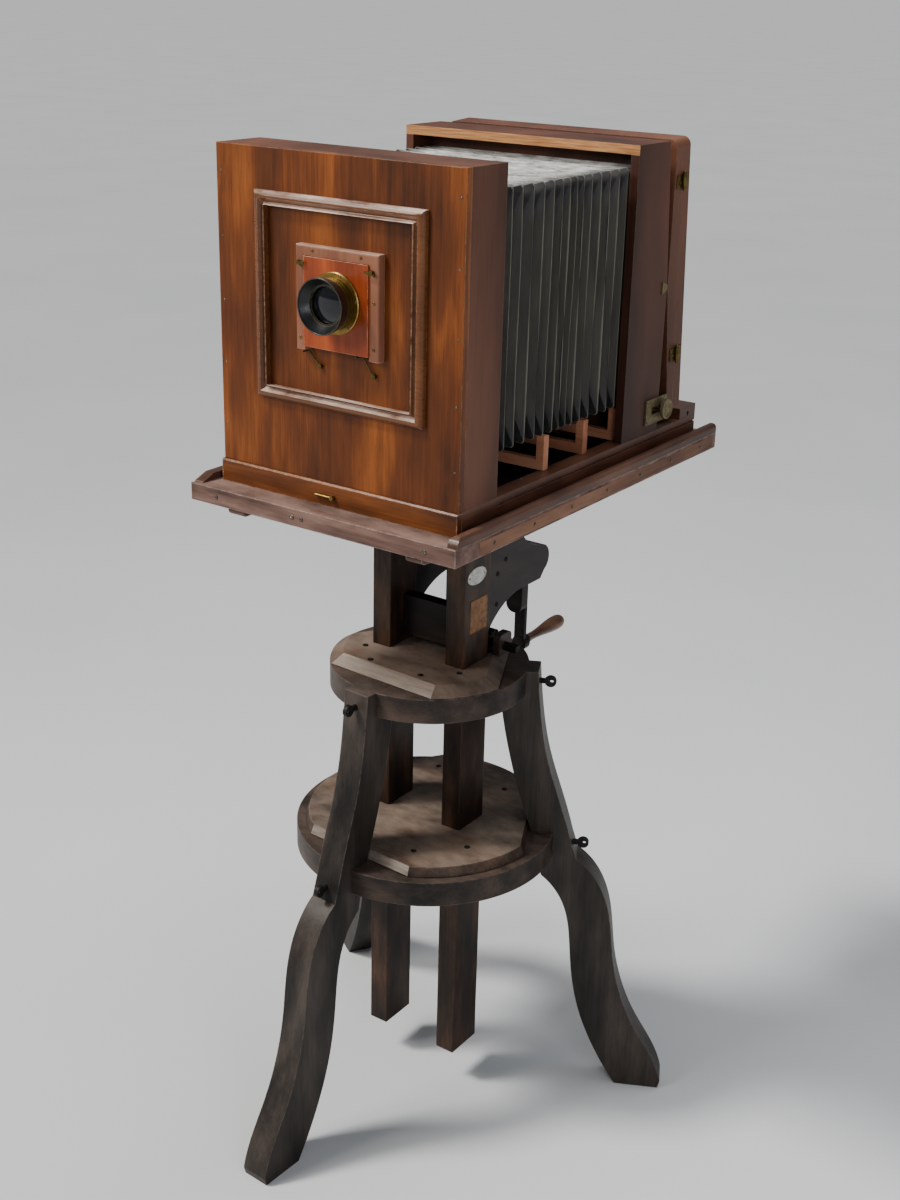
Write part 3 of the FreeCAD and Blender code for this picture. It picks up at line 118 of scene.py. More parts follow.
@dataclass
class Graph:
    """A material under construction, with the sums that every finish uses."""

    tree: bpy.types.NodeTree

    def math(self, operation: str, *values: Any) -> Socket:
        """One arithmetic node, clamped only where the operation says so."""
        return add(self.tree, "Math", dict(enumerate(values)), operation=operation).outputs[0]

    def mix(self, factor: Any, first: Any, second: Any, blend: str = "MIX") -> Socket:
        """Mixes two colours by a factor."""
        node = add(self.tree, "Mix", {0: factor, 6: first, 7: second}, data_type="RGBA",
                   blend_type=blend, clamp_factor=True)
        return node.outputs[2]

    def span(self, value: Any, low: float, high: float, to_low: float = 0.0,
             to_high: float = 1.0) -> Socket:
        """Stretches low..high to to_low..to_high, clamped."""
        node = add(self.tree, "MapRange", {0: value, 1: low, 2: high, 3: to_low, 4: to_high})
        return node.outputs[0]

    def place(self) -> Socket:
        """The point on the piece, in metres, in the row frame."""
        return add(self.tree, "TexCoord").outputs["Object"]

    def stretched(self, point: Any, size_mm: Sequence[float]) -> Socket:
        """The point divided by a real size on each axis, so that one unit is one pattern."""
        scale = tuple(1.0 / (MM * s) for s in size_mm)
        return add(self.tree, "Mapping", {0: point, 3: scale}).outputs[0]

    def noise(self, point: Any, detail: float = 4.0, rough: float = 0.55,
              distortion: float = 0.0) -> Socket:
        """Cloudy noise between 0 and 1 with one unit per lump."""
        node = add(self.tree, "TexNoise", {"Vector": point, "Scale": 1.0, "Detail": detail,
                                           "Roughness": rough, "Distortion": distortion})
        return node.outputs[0]

    def arris(self, width: float) -> Socket:
        """1 on an edge and 0 on a flat face: how far a rounded normal leaves the true one."""
        bevel = add(self.tree, "Bevel", {"Radius": width}, samples=4)
        true = add(self.tree, "NewGeometry").outputs["True Normal"]
        dot = add(self.tree, "VectorMath", {0: bevel.outputs[0], 1: true}, operation="DOT_PRODUCT")
        return self.span(dot.outputs["Value"], 0.985, 0.80)

    def facing(self, axis: Axis, low: float, high: float) -> Socket:
        """1 where the surface faces along the axis, between two limits of that share."""
        normal = add(self.tree, "TexCoord").outputs["Normal"]
        part = add(self.tree, "SeparateXYZ", {0: normal}).outputs[axis.value]
        return self.span(part, low, high)


def new_material(name: str) -> tuple[bpy.types.Material, Graph, bpy.types.Node]:
    """Starts a material.

    Args:
        name: the finish's name.

    Returns:
        The material, its graph and its shader.
    """
    material = bpy.data.materials.new(name)
    material.use_nodes = True
    tree = material.node_tree
    return material, Graph(tree), tree.nodes["Principled BSDF"]


def connect(graph: Graph, shader: bpy.types.Node, **sockets: Socket) -> None:
    """Links sockets to the shader's inputs, with underscores standing for spaces."""
    for name, socket in sockets.items():
        graph.tree.links.new(socket, shader.inputs[name.replace("_", " ")])


# ---------------------------------------------------------------- finishes

@dataclass(frozen=True)
class Wood:
    """Planed board: growth lines run along the grain, pores are dark dashes, arrises are worn.

    Oiled or shellacked wood has an IOR near 1.5; a polished one has a thin clear coat.
    """

    name: str
    dark: str
    mid: str
    light: str
    grain: Axis = Axis.Z
    line_mm: float = 7.0
    pore_mm: float = 1.3
    cloud_mm: float = 70.0
    roughness: float = 0.45
    coat: float = 0.0
    worn: str = "#8a6a54"
    worn_mm: float = 1.6
    worn_amount: float = 0.6
    dust: str = "#6d5e55"
    dust_and_highlight_amount: float = 0.0
    top_from: float = 0.5
    dent_mm: float = 0.25
    flame: float = 0.0
    nicks: float = 0.2
    gloss: float = 0.2
    scraped_and_highlit: Optional[str] = None
    bare: Optional[str] = None
    bare_box: tuple[float, ...] = ()

    def size(self, across: float, along: float) -> list[float]:
        """Pattern sizes on the three axes, long along the grain."""
        sizes = [across] * 3
        sizes[self.grain.value] = along
        return sizes

    def build(self) -> bpy.types.Material:
        """Makes the material.

        Returns:
            The finished material.
        """
        material, g, shader = new_material(self.name)
        point = g.place()
        cloud = g.noise(g.stretched(point, self.size(self.cloud_mm, self.cloud_mm * 4)), 3.0)
        line_at = g.stretched(point, self.size(self.line_mm, self.line_mm * 38))
        lines = g.noise(line_at, 6.0, 0.66, 0.7)
        fine = g.noise(g.stretched(point, self.size(self.pore_mm, self.pore_mm * 24)), 3.0, 0.6)
        wave_at = g.stretched(point, self.size(self.line_mm * 9, self.line_mm * 60))
        wave = g.noise(wave_at, 2.0, 0.5, 2.6)
        figure = g.math("ADD", g.math("MULTIPLY", lines, 0.24), g.math("MULTIPLY", cloud, 0.76))
        swing = g.math("SUBTRACT", wave, 0.5)
        figure = g.math("ADD", figure, g.math("MULTIPLY", swing, self.flame))
        ramp = add(g.tree, "ValToRGB", {0: figure})
        bands = ramp.color_ramp.elements
        bands[0].position, bands[0].color = 0.36, linear(self.dark)
        bands[1].position, bands[1].color = 0.66, linear(self.light)
        middle = bands.new(0.5)
        middle.color = linear(self.mid)
        pores = g.span(fine, 0.34, 0.46, 0.3, 0.0)
        colour = g.mix(pores, ramp.outputs[0], linear(self.dark))
        patchy = g.span(g.noise(g.stretched(point, (14, 14, 14)), 4.0, 0.7), 0.35, 0.62)
        edge = g.math("MULTIPLY", g.arris(self.worn_mm * MM), patchy)
        edge = g.math("MULTIPLY", edge, self.worn_amount)
        colour = g.mix(edge, colour, linear(self.worn))
        if self.scraped_and_highlit:
            colour = self.scraped_and_highlit_bevel(g, point, colour)
        nick = g.noise(g.stretched(point, self.size(5.0, 9.0)), 5.0, 0.75, 1.4)
        nick = g.math("MULTIPLY", g.span(nick, 0.74, 0.78), self.nicks)
        colour = g.mix(nick, colour, linear(self.worn))
        # Up-facing faces take the dust colour in patches: real dust on most woods, and on the
        # moulding a painted highlight where its up-facing faces catch the key light.
        if self.dust_and_highlight_amount:
            top = g.facing(Axis.Z, self.top_from, 0.95)
            lying = g.span(g.noise(g.stretched(point, (90, 60, 90)), 5.0, 0.65), 0.32, 0.66)
            top = g.math("MULTIPLY", g.math("MULTIPLY", top, lying), self.dust_and_highlight_amount)
            colour = g.mix(top, colour, linear(self.dust))
        if self.bare:
            colour = self.bare_wood(g, point, colour)
        rough = g.math("ADD", g.math("MULTIPLY", lines, 0.25), self.roughness - 0.12)
        marks = g.noise(g.stretched(point, self.size(4, 30)), 5.0, 0.7)
        height = g.math("ADD", g.math("MULTIPLY", fine, 0.35), g.math("MULTIPLY", marks, 0.65))
        round_edge = add(g.tree, "Bevel", {"Radius": 0.8 * self.worn_mm * MM}, samples=4)
        bump = add(g.tree, "Bump", {"Strength": 0.6, "Distance": self.dent_mm * MM,
                                    "Height": height, "Normal": round_edge.outputs[0]})
        connect(g, shader, Base_Color=colour, Roughness=rough, Normal=bump.outputs[0])
        shader.inputs["IOR"].default_value = 1.5
        shader.inputs["Specular IOR Level"].default_value = self.gloss
        shader.inputs["Coat Weight"].default_value = self.coat
        shader.inputs["Coat Roughness"].default_value = 0.16
        return material

    def scraped_and_highlit_bevel(self, g: Graph, point: Socket, colour: Socket) -> Socket:
        """Rubbed grey wood and a painted highlight on the sloping faces that look along -Y,
        towards the key light, and nowhere else.
        """
        normal = add(g.tree, "SeparateXYZ", {0: add(g.tree, "TexCoord").outputs["Normal"]})
        level = g.math("LESS_THAN", g.math("ABSOLUTE", normal.outputs[0]), 0.06)
        front = g.math("LESS_THAN", normal.outputs[1], -0.3)
        slope = g.math("GREATER_THAN", normal.outputs[2], 0.3)
        rub = g.noise(g.stretched(point, (60, 7, 7)), 6.0, 0.7)
        share = g.math("MULTIPLY", g.math("MULTIPLY", level, front), slope)
        share = g.math("MULTIPLY", share, g.span(rub, 0.3, 0.6, 0.3, 0.95))
        return g.mix(share, colour, linear(self.scraped_and_highlit))

    def bare_wood(self, g: Graph, point: Socket, colour: Socket) -> Socket:
        """Uncoloured wood inside the box bare_box = (low y, high y, low z, high z), metres."""
        y_low, y_high, z_low, z_high = self.bare_box
        parts = add(g.tree, "SeparateXYZ", {0: point})
        inside = g.math("MULTIPLY", g.math("GREATER_THAN", parts.outputs[1], y_low),
                        g.math("LESS_THAN", parts.outputs[1], y_high))
        tall = g.math("MULTIPLY", g.math("GREATER_THAN", parts.outputs[2], z_low),
                      g.math("LESS_THAN", parts.outputs[2], z_high))
        streak = g.noise(g.stretched(point, (60, 4, 3)), 5.0, 0.6)
        pale = g.mix(g.span(streak, 0.3, 0.7), linear("#8a5730"), linear(self.bare))
        return g.mix(g.math("MULTIPLY", g.math("MULTIPLY", inside, tall), 0.92), colour, pale)


@dataclass(frozen=True)
class Metal:
    """Turned, cast or forged metal with a dull film in its hollows and bright worn edges."""

    name: str
    bright: str
    film: str
    film_amount: float = 0.6
    film_mm: float = 12.0
    roughness: float = 0.35
    metallic: float = 1.0
    grit_mm: float = 0.8
    grit_depth_mm: float = 0.03
    polish: str = "#c7a45c"
    polish_amount: float = 0.5
    edge_mm: float = 0.6

    def build(self) -> bpy.types.Material:
        """Makes the material."""
        material, g, shader = new_material(self.name)
        point = g.place()
        stain = g.noise(g.stretched(point, [self.film_mm] * 3), 5.0, 0.65, 0.6)
        film = g.math("MULTIPLY", g.span(stain, 0.34, 0.62), self.film_amount)
        colour = g.mix(film, linear(self.bright), linear(self.film))
        edge = g.math("MULTIPLY", g.arris(self.edge_mm * MM), self.polish_amount)
        colour = g.mix(edge, colour, linear(self.polish))
        grit = g.noise(g.stretched(point, [self.grit_mm] * 3), 4.0, 0.6)
        rough = g.math("ADD", g.math("MULTIPLY", film, 0.28),
                       g.math("ADD", g.math("MULTIPLY", grit, 0.16), self.roughness - 0.08))
        bump = add(g.tree, "Bump", {"Strength": 0.5, "Distance": self.grit_depth_mm * MM,
                                    "Height": grit})
        connect(g, shader, Base_Color=colour, Roughness=rough, Normal=bump.outputs[0])
        shader.inputs["Metallic"].default_value = self.metallic
        return material


@dataclass(frozen=True)
class BellowsCloth:
    """Black-backed glazed cloth: grey-green on the sides, silvered by dust and rub above, with
    painted shade in the fold valleys.
    """

    name: str = "glazed_bellows_cloth"
    side: str = "#3f3c33"
    side_dark: str = "#26231c"
    rub: str = "#837e69"
    top: str = "#c6c6c3"
    corner: str = "#121216"
    weave_mm: float = 0.9

    def build(self) -> bpy.types.Material:
        """Makes the material from the mesh's own fold, corner and top values."""
        material, g, shader = new_material(self.name)
        point = g.place()
        fold = add(g.tree, "Attribute", attribute_name="fold").outputs["Fac"]
        corner = add(g.tree, "Attribute", attribute_name="corner").outputs["Fac"]
        top = add(g.tree, "Attribute", attribute_name="top").outputs["Fac"]
        cloud = g.noise(g.stretched(point, (30, 30, 140)), 5.0, 0.6)
        colour = g.mix(g.span(cloud, 0.3, 0.7), linear(self.side_dark), linear(self.side))
        # Painted shade: the cloth darkens towards #16170f down into each fold's valley, where
        # shade falls between the pleats.
        colour = g.mix(g.span(fold, 0.0, 0.55, 0.75, 0.0), colour, linear("#16170f"))
        scuff = g.noise(g.stretched(point, (26, 3, 9)), 6.0, 0.7)
        silver = g.mix(g.span(scuff, 0.35, 0.62), linear("#6f6f6c"), linear(self.top))
        colour = g.mix(top, colour, silver)
        black = g.math("MULTIPLY", corner, g.span(scuff, 0.75, 0.45, 0.55, 1.0))
        colour = g.mix(black, colour, linear(self.corner))
        ridge = g.span(fold, 0.975, 1.0)
        worn = g.noise(g.stretched(point, (6, 6, 30)), 4.0, 0.6)
        ridge = g.math("MULTIPLY", ridge, g.span(worn, 0.25, 0.6, 0.45, 1.0))
        colour = g.mix(g.math("MULTIPLY", ridge, 0.85), colour, linear(self.rub))
        uv = add(g.tree, "UVMap", uv_map="cloth").outputs[0]
        thread = g.stretched(uv, [self.weave_mm] * 3)
        warp = add(g.tree, "TexWave", {"Vector": thread, "Scale": 0.5}, bands_direction="X")
        weft = add(g.tree, "TexWave", {"Vector": thread, "Scale": 0.5}, bands_direction="Y")
        cloth = g.math("MULTIPLY", warp.outputs[1], weft.outputs[1])
        crease = g.noise(g.stretched(point, (22, 5, 40)), 4.0, 0.6)
        height = g.math("ADD", g.math("MULTIPLY", cloth, 0.08), crease)
        bump = add(g.tree, "Bump", {"Strength": 0.55, "Distance": 1.2 * MM, "Height": height})
        rough = g.math("SUBTRACT", 0.66, g.math("MULTIPLY", corner, 0.28))
        connect(g, shader, Base_Color=colour, Roughness=rough, Normal=bump.outputs[0])
        shader.inputs["Sheen Weight"].default_value = 0.12
        shader.inputs["Sheen Roughness"].default_value = 0.5
        return material


@dataclass(frozen=True)
class Lacquer:
    """Thin black lacquer that has rubbed through to brass on its sharp rims."""

    name: str = "black_lacquer_rubbed"
    black: str = "#0d0d0e"
    rubbed: str = "#7c7243"

    def build(self) -> bpy.types.Material:
        """Makes the material."""
        material, g, shader = new_material(self.name)
        point = g.place()
        rub = g.noise(g.stretched(point, (5, 5, 5)), 4.0, 0.7)
        edge = g.math("MULTIPLY", g.arris(0.7 * MM), g.span(rub, 0.3, 0.55))
        colour = g.mix(edge, linear(self.black), linear(self.rubbed))
        dust = g.noise(g.stretched(point, (3, 3, 3)), 5.0, 0.7)
        rough = g.span(dust, 0.3, 0.7, 0.26, 0.44)
        bump = add(g.tree, "Bump", {"Strength": 0.3, "Distance": 0.05 * MM, "Height": dust})
        connect(g, shader, Base_Color=colour, Roughness=rough, Normal=bump.outputs[0])
        return material


@dataclass(frozen=True)
class Glass:
    """Crown glass, polished for the lens or ground on one face for the screen."""

    name: str
    tint: str
    roughness: float
    transmission: float
    coat: float = 0.25

    def build(self) -> bpy.types.Material:
        """Makes the material; faint specks of dust break up its gloss."""
        material, g, shader = new_material(self.name)
        specks = g.noise(g.stretched(g.place(), (2, 2, 2)), 6.0, 0.75)
        rough = g.span(specks, 0.45, 0.75, self.roughness, self.roughness + 0.14)
        colour = g.mix(g.span(specks, 0.55, 0.8), linear(self.tint), linear("#5b5f66"))
        connect(g, shader, Base_Color=colour, Roughness=rough)
        shader.inputs["IOR"].default_value = 1.52
        shader.inputs["Transmission Weight"].default_value = self.transmission
        shader.inputs["Coat Weight"].default_value = self.coat
        shader.inputs["Coat Roughness"].default_value = 0.03
        return material


@dataclass(frozen=True)
class Sheet:
    """Enamel or gummed paper on a small plate: one colour, foxed and rubbed at the rim."""

    name: str
    colour: str
    stain: str
    roughness: float = 0.4
    stain_mm: float = 9.0

    def build(self) -> bpy.types.Material:
        """Makes the material."""
        material, g, shader = new_material(self.name)
        point = g.place()
        spots = g.noise(g.stretched(point, [self.stain_mm] * 3), 6.0, 0.7)
        colour = g.mix(g.span(spots, 0.42, 0.7), linear(self.colour), linear(self.stain))
        colour = g.mix(g.math("MULTIPLY", g.arris(0.8 * MM), 0.5), colour, linear(self.stain))
        fibre = g.noise(g.stretched(point, (0.9, 0.9, 0.9)), 4.0, 0.7)
        bump = add(g.tree, "Bump", {"Strength": 0.4, "Distance": 0.06 * MM, "Height": fibre})
        rough = g.span(spots, 0.3, 0.7, self.roughness, self.roughness + 0.2)
        connect(g, shader, Base_Color=colour, Roughness=rough, Normal=bump.outputs[0])
        return material


# ---------------------------------------------------------------- surfaces

def mesh_piece(name: str, points: np.ndarray, faces: Sequence[Sequence[int]],
               smooth: bool = True) -> bpy.types.Object:
    """Puts points and faces into a new object at the origin.

    Args:
        name: the piece's name.
        points: an (n, 3) array in the row frame, metres.
        faces: corner numbers of each face, anticlockwise from outside.
        smooth: whether the shading is smooth.

    Returns:
        The object, linked to the scene.
    """
    mesh = bpy.data.meshes.new(name)
    mesh.from_pydata(np.asarray(points, float).tolist(), [], [list(f) for f in faces])
    mesh.polygons.foreach_set("use_smooth", np.full(len(mesh.polygons), smooth))
    mesh.update()
    piece = bpy.data.objects.new(name, mesh)
    bpy.context.scene.collection.objects.link(piece)
    return piece


def grid_faces(rows: int, columns: int, close_rows: bool = False,
               close_columns: bool = False) -> np.ndarray:
    """Quads of a grid whose point (i, j) has number i * columns + j.

    Args:
        rows: how many rows of points.
        columns: how many points in a row.
        close_rows: whether the last row joins the first.
        close_columns: whether each row's last point joins its first.

    Returns:
        An (m, 4) array of corner numbers.
    """
    i = np.arange(rows if close_rows else rows - 1)
    j = np.arange(columns if close_columns else columns - 1)
    a, b = np.meshgrid(i, j, indexing="ij")
    a2, b2 = (a + 1) % rows, (b + 1) % columns
    quads = np.stack([a * columns + b, a * columns + b2, a2 * columns + b2, a2 * columns + b], -1)
    return quads.reshape(-1, 4)


def axes_for(direction: Sequence[float]) -> np.ndarray:
    """Three unit rows: two across the direction, then the direction itself."""
    along = np.asarray(direction, float)
    along = along / np.linalg.norm(along)
    seed = np.array([0.0, 0.0, 1.0]) if abs(along[2]) < 0.9 else np.array([1.0, 0.0, 0.0])
    side = np.cross(seed, along)
    side = side / np.linalg.norm(side)
    return np.array([side, np.cross(along, side), along])


def lathe(name: str, profile: Sequence[tuple[float, float]], centre: Sequence[float],
          direction: Sequence[float], steps: int = 72,
          knurl: Optional[Callable[[np.ndarray, np.ndarray], np.ndarray]] = None,
          ring: bool = True) -> bpy.types.Object:
    """Turns a profile about an axis.

    The point at angle t is centre + along * direction + radius * (cos t, sin t) across it; the
    radius of point k may be changed by knurl(k, t).

    Args:
        name: the piece's name.
        profile: (radius, along) pairs in millimetres, going round the section anticlockwise
            when radius is to the right and along is up.
        centre: a point on the axis, metres.
        direction: the axis.
        steps: points round the axis.
        knurl: radius change in millimetres from profile index and angle.
        ring: whether the last profile point joins the first.

    Returns:
        The piece.
    """
    section = np.asarray(profile, float)
    angle = np.linspace(0, 2 * np.pi, steps, endpoint=False)
    index, turn = np.meshgrid(np.arange(len(section)), angle, indexing="ij")
    radius = section[index, 0]
    if knurl is not None:
        radius = radius + knurl(index, turn)
    frame_axes = axes_for(direction)
    local = np.stack([radius * np.cos(turn), radius * np.sin(turn), section[index, 1]], -1) * MM
    points = local.reshape(-1, 3) @ frame_axes + np.asarray(centre, float)
    faces = grid_faces(len(section), steps, close_rows=ring, close_columns=True)
    faces = [tuple(f[::-1]) for f in faces.tolist()]
    if not ring:
        faces.append(tuple(range(steps - 1, -1, -1)))
        last = (len(section) - 1) * steps
        faces.append(tuple(range(last, last + steps)))
    piece = mesh_piece(name, points, faces)
    face_out(piece)
    soften(piece, 0.35)
    return piece


def face_out(piece: bpy.types.Object) -> None:
    """Turns a closed shell's faces outwards by the sign of its volume."""
    mesh = piece.data
    mesh.calc_loop_triangles()
    corners = np.zeros(len(mesh.vertices) * 3)
    mesh.vertices.foreach_get("co", corners)
    corners = corners.reshape(-1, 3)
    triangles = np.zeros(len(mesh.loop_triangles) * 3, np.int64)
    mesh.loop_triangles.foreach_get("vertices", triangles)
    a, b, c = (corners[triangles.reshape(-1, 3)[:, k]] - corners.mean(axis=0) for k in range(3))
    if np.einsum("ij,ij->i", a, np.cross(b, c)).sum() < 0:
        mesh.flip_normals()


def soften(piece: bpy.types.Object, angle: float = 0.6) -> None:
    """Keeps edges sharper than the angle, in radians, crisp."""
    mesh = piece.data
    mesh.polygons.foreach_set("use_smooth", np.full(len(mesh.polygons), True))
    mesh.set_sharp_from_angle(angle=angle)


def screw_points(centre: np.ndarray, direction: Sequence[float], radius: float,
                 slot_turn: float) -> tuple[np.ndarray, list[tuple[int, ...]]]:
    """A slotted round-head screw's surface.

    Over a disc of rings and spokes the height is a shallow dome, less the slot's depth inside
    the slot's width; the outermost ring drops to below the seat.

    Args:
        centre: the seat, metres.
        direction: outwards.
        radius: of the head, millimetres.
        slot_turn: the slot's angle, radians.

    Returns:
        Points and faces.
    """
    spokes = 24
    rings = np.array([0.16, 0.3, 0.62, 0.9, 1.0, 1.0])
    angle = np.linspace(0, 2 * np.pi, spokes, endpoint=False)
    ring, turn = np.meshgrid(rings, angle, indexing="ij")
    x, y = ring * np.cos(turn), ring * np.sin(turn)
    across = x * math.sin(slot_turn) - y * math.cos(slot_turn)
    height = 0.42 * np.sqrt(np.clip(1.15 - ring ** 2, 0, None)) + 0.04
    height = height - np.where(np.abs(across) < 0.17, 0.26, 0.0) * (ring < 0.99)
    height[-1] = -0.12
    local = np.stack([x, y, height], -1).reshape(-1, 3) * radius * MM
    local = np.vstack([local, [[0, 0, 0.2 * radius * MM]]])
    points = local @ axes_for(direction) + centre
    inward = grid_faces(len(rings), spokes, close_columns=True)[:, ::-1]
    faces = [tuple(f) for f in inward.tolist()]
    hub = len(rings) * spokes
    faces += [(hub, k, (k + 1) % spokes) for k in range(spokes)]
    faces.append(tuple(range(hub - spokes, hub))[::-1])
    return points, faces


@dataclass(frozen=True)
class Screw:
    """Where a screw head sits, which way it faces and how large it is."""

    place: tuple[float, float, float]
    direction: tuple[float, float, float]
    radius_mm: float = 3.0


def screw_group(name: str, screws: Sequence[Screw], seed: int) -> bpy.types.Object:
    """Makes a group of screws as one piece, each with its slot at its own angle."""
    random = np.random.default_rng(seed)
    points, faces, base = [], [], 0
    for screw in screws:
        p, f = screw_points(np.asarray(screw.place), screw.direction, screw.radius_mm,
                            random.uniform(0, math.pi))
        points.append(p)
        faces += [tuple(base + k for k in face) for face in f]
        base += len(p)
    piece = mesh_piece(name, np.vstack(points), faces)
    soften(piece, 0.5)
    return piece


def swept_frame(name: str, profile: np.ndarray, half_x: float, half_z: float,
                centre: Sequence[float], rows_per_side: int = 24) -> bpy.types.Object:
    """Carries a moulding's profile round a rectangle in the XZ plane with mitred corners.

    At corner k the profile's point (out, front) lies at corner + out * diagonal, and moves
    towards -Y by front; straight sides are lines between corners.

    Args:
        name: the piece's name.
        profile: (out, front) pairs in metres, closed, out measured outwards from the path.
        half_x: the path's half width.
        half_z: the path's half height.
        centre: the rectangle's middle on its seat.
        rows_per_side: points along each side.

    Returns:
        The piece.
    """
    corners = np.array([(-1, -1), (1, -1), (1, 1), (-1, 1)], float)
    share = np.arange(rows_per_side) / rows_per_side
    path = np.vstack([corners[k] + share[:, None] * (corners[(k + 1) % 4] - corners[k])
                      for k in range(4)])
    out, front = profile[:, 0], profile[:, 1]
    x = path[:, :1] * half_x + path[:, :1] * out
    z = path[:, 1:] * half_z + path[:, 1:] * out
    points = np.stack([x + centre[0], np.broadcast_to(centre[1] - front, x.shape),
                       z + centre[2]], -1)
    rows, columns = x.shape
    piece = mesh_piece(name, points.reshape(-1, 3),
                       grid_faces(rows, columns, close_rows=True, close_columns=True).tolist())
    face_out(piece)
    soften(piece, 0.5)
    return piece


def rounded_slab(name: str, low: Sequence[float], high: Sequence[float], corner: float,
                 rise_axis: Axis, outward: int, dome: float, steps: int = 10) -> bpy.types.Object:
    """A thin plate with rounded corners and a rolled rim.

    The outline is a superellipse-cornered rectangle; rings at growing inset climb a quarter
    circle to the face, which is flat or slightly domed.

    Args:
        name: the piece's name.
        low: lowest corner, metres.
        high: highest corner, metres.
        corner: corner radius, metres.
        rise_axis: the axis across the plate.
        outward: 1 or -1, the side that faces out.
        dome: how far the middle stands over the rim, metres.
        steps: points per corner.

    Returns:
        The piece.
    """
    low_a, high_a = np.asarray(low, float), np.asarray(high, float)
    k = rise_axis.value
    p, q = [a for a in range(3) if a != k]
    mid = (low_a + high_a) / 2
    half = (high_a - low_a) / 2
    thick = high_a[k] - low_a[k]
    angle = np.concatenate([np.linspace(s, s + np.pi / 2, steps) for s in
                            (0, np.pi / 2, np.pi, 1.5 * np.pi)])
    side = np.concatenate([np.tile(s, (steps, 1)) for s in ((1, 1), (-1, 1), (-1, -1), (1, -1))])
    inset = np.array([0.0, 0.0, 0.3, 1.0, 2.2, 1e9])
    rise = np.array([0.0, 0.72, 0.93, 1.0, 1.0, 1.0])
    rings = []
    for number, (drop, up) in enumerate(zip(inset, rise)):
        shrink = min(drop * thick * 0.3, min(half[p], half[q]) * 0.55)
        radius = max(corner - shrink, 0.15 * corner)
        c_p = half[p] - shrink - radius
        c_q = half[q] - shrink - radius
        ring = np.zeros((len(angle), 3))
        ring[:, p] = mid[p] + side[:, 0] * c_p + radius * np.cos(angle)
        ring[:, q] = mid[q] + side[:, 1] * c_q + radius * np.sin(angle)
        height = up * thick + (dome if number == len(inset) - 1 else 0.0)
        ring[:, k] = (low_a[k] + height) if outward > 0 else (high_a[k] - height)
        rings.append(ring)
    count = len(angle)
    faces = [tuple(f) for f in grid_faces(len(rings), count, close_columns=True).tolist()]
    faces.append(tuple(range(count))[::-1])
    faces.append(tuple(range((len(rings) - 1) * count, len(rings) * count)))
    piece = mesh_piece(name, np.vstack(rings), faces)
    face_out(piece)
    soften(piece, 0.6)
    return piece


def dress(piece: bpy.types.Object, material: bpy.types.Material, body: str, slot: str,
          *nodes: str) -> bpy.types.Object:
    """Gives a new piece its finish and its body, and hides the CAD nodes that it stands for."""
    piece.data.materials.clear()
    piece.data.materials.append(material)
    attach(piece, body)
    if nodes:
        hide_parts(*nodes)
    LOG.info("piece %s on %s", piece.name, body)
    return piece


# ---------------------------------------------------------------- the workshop's finishes

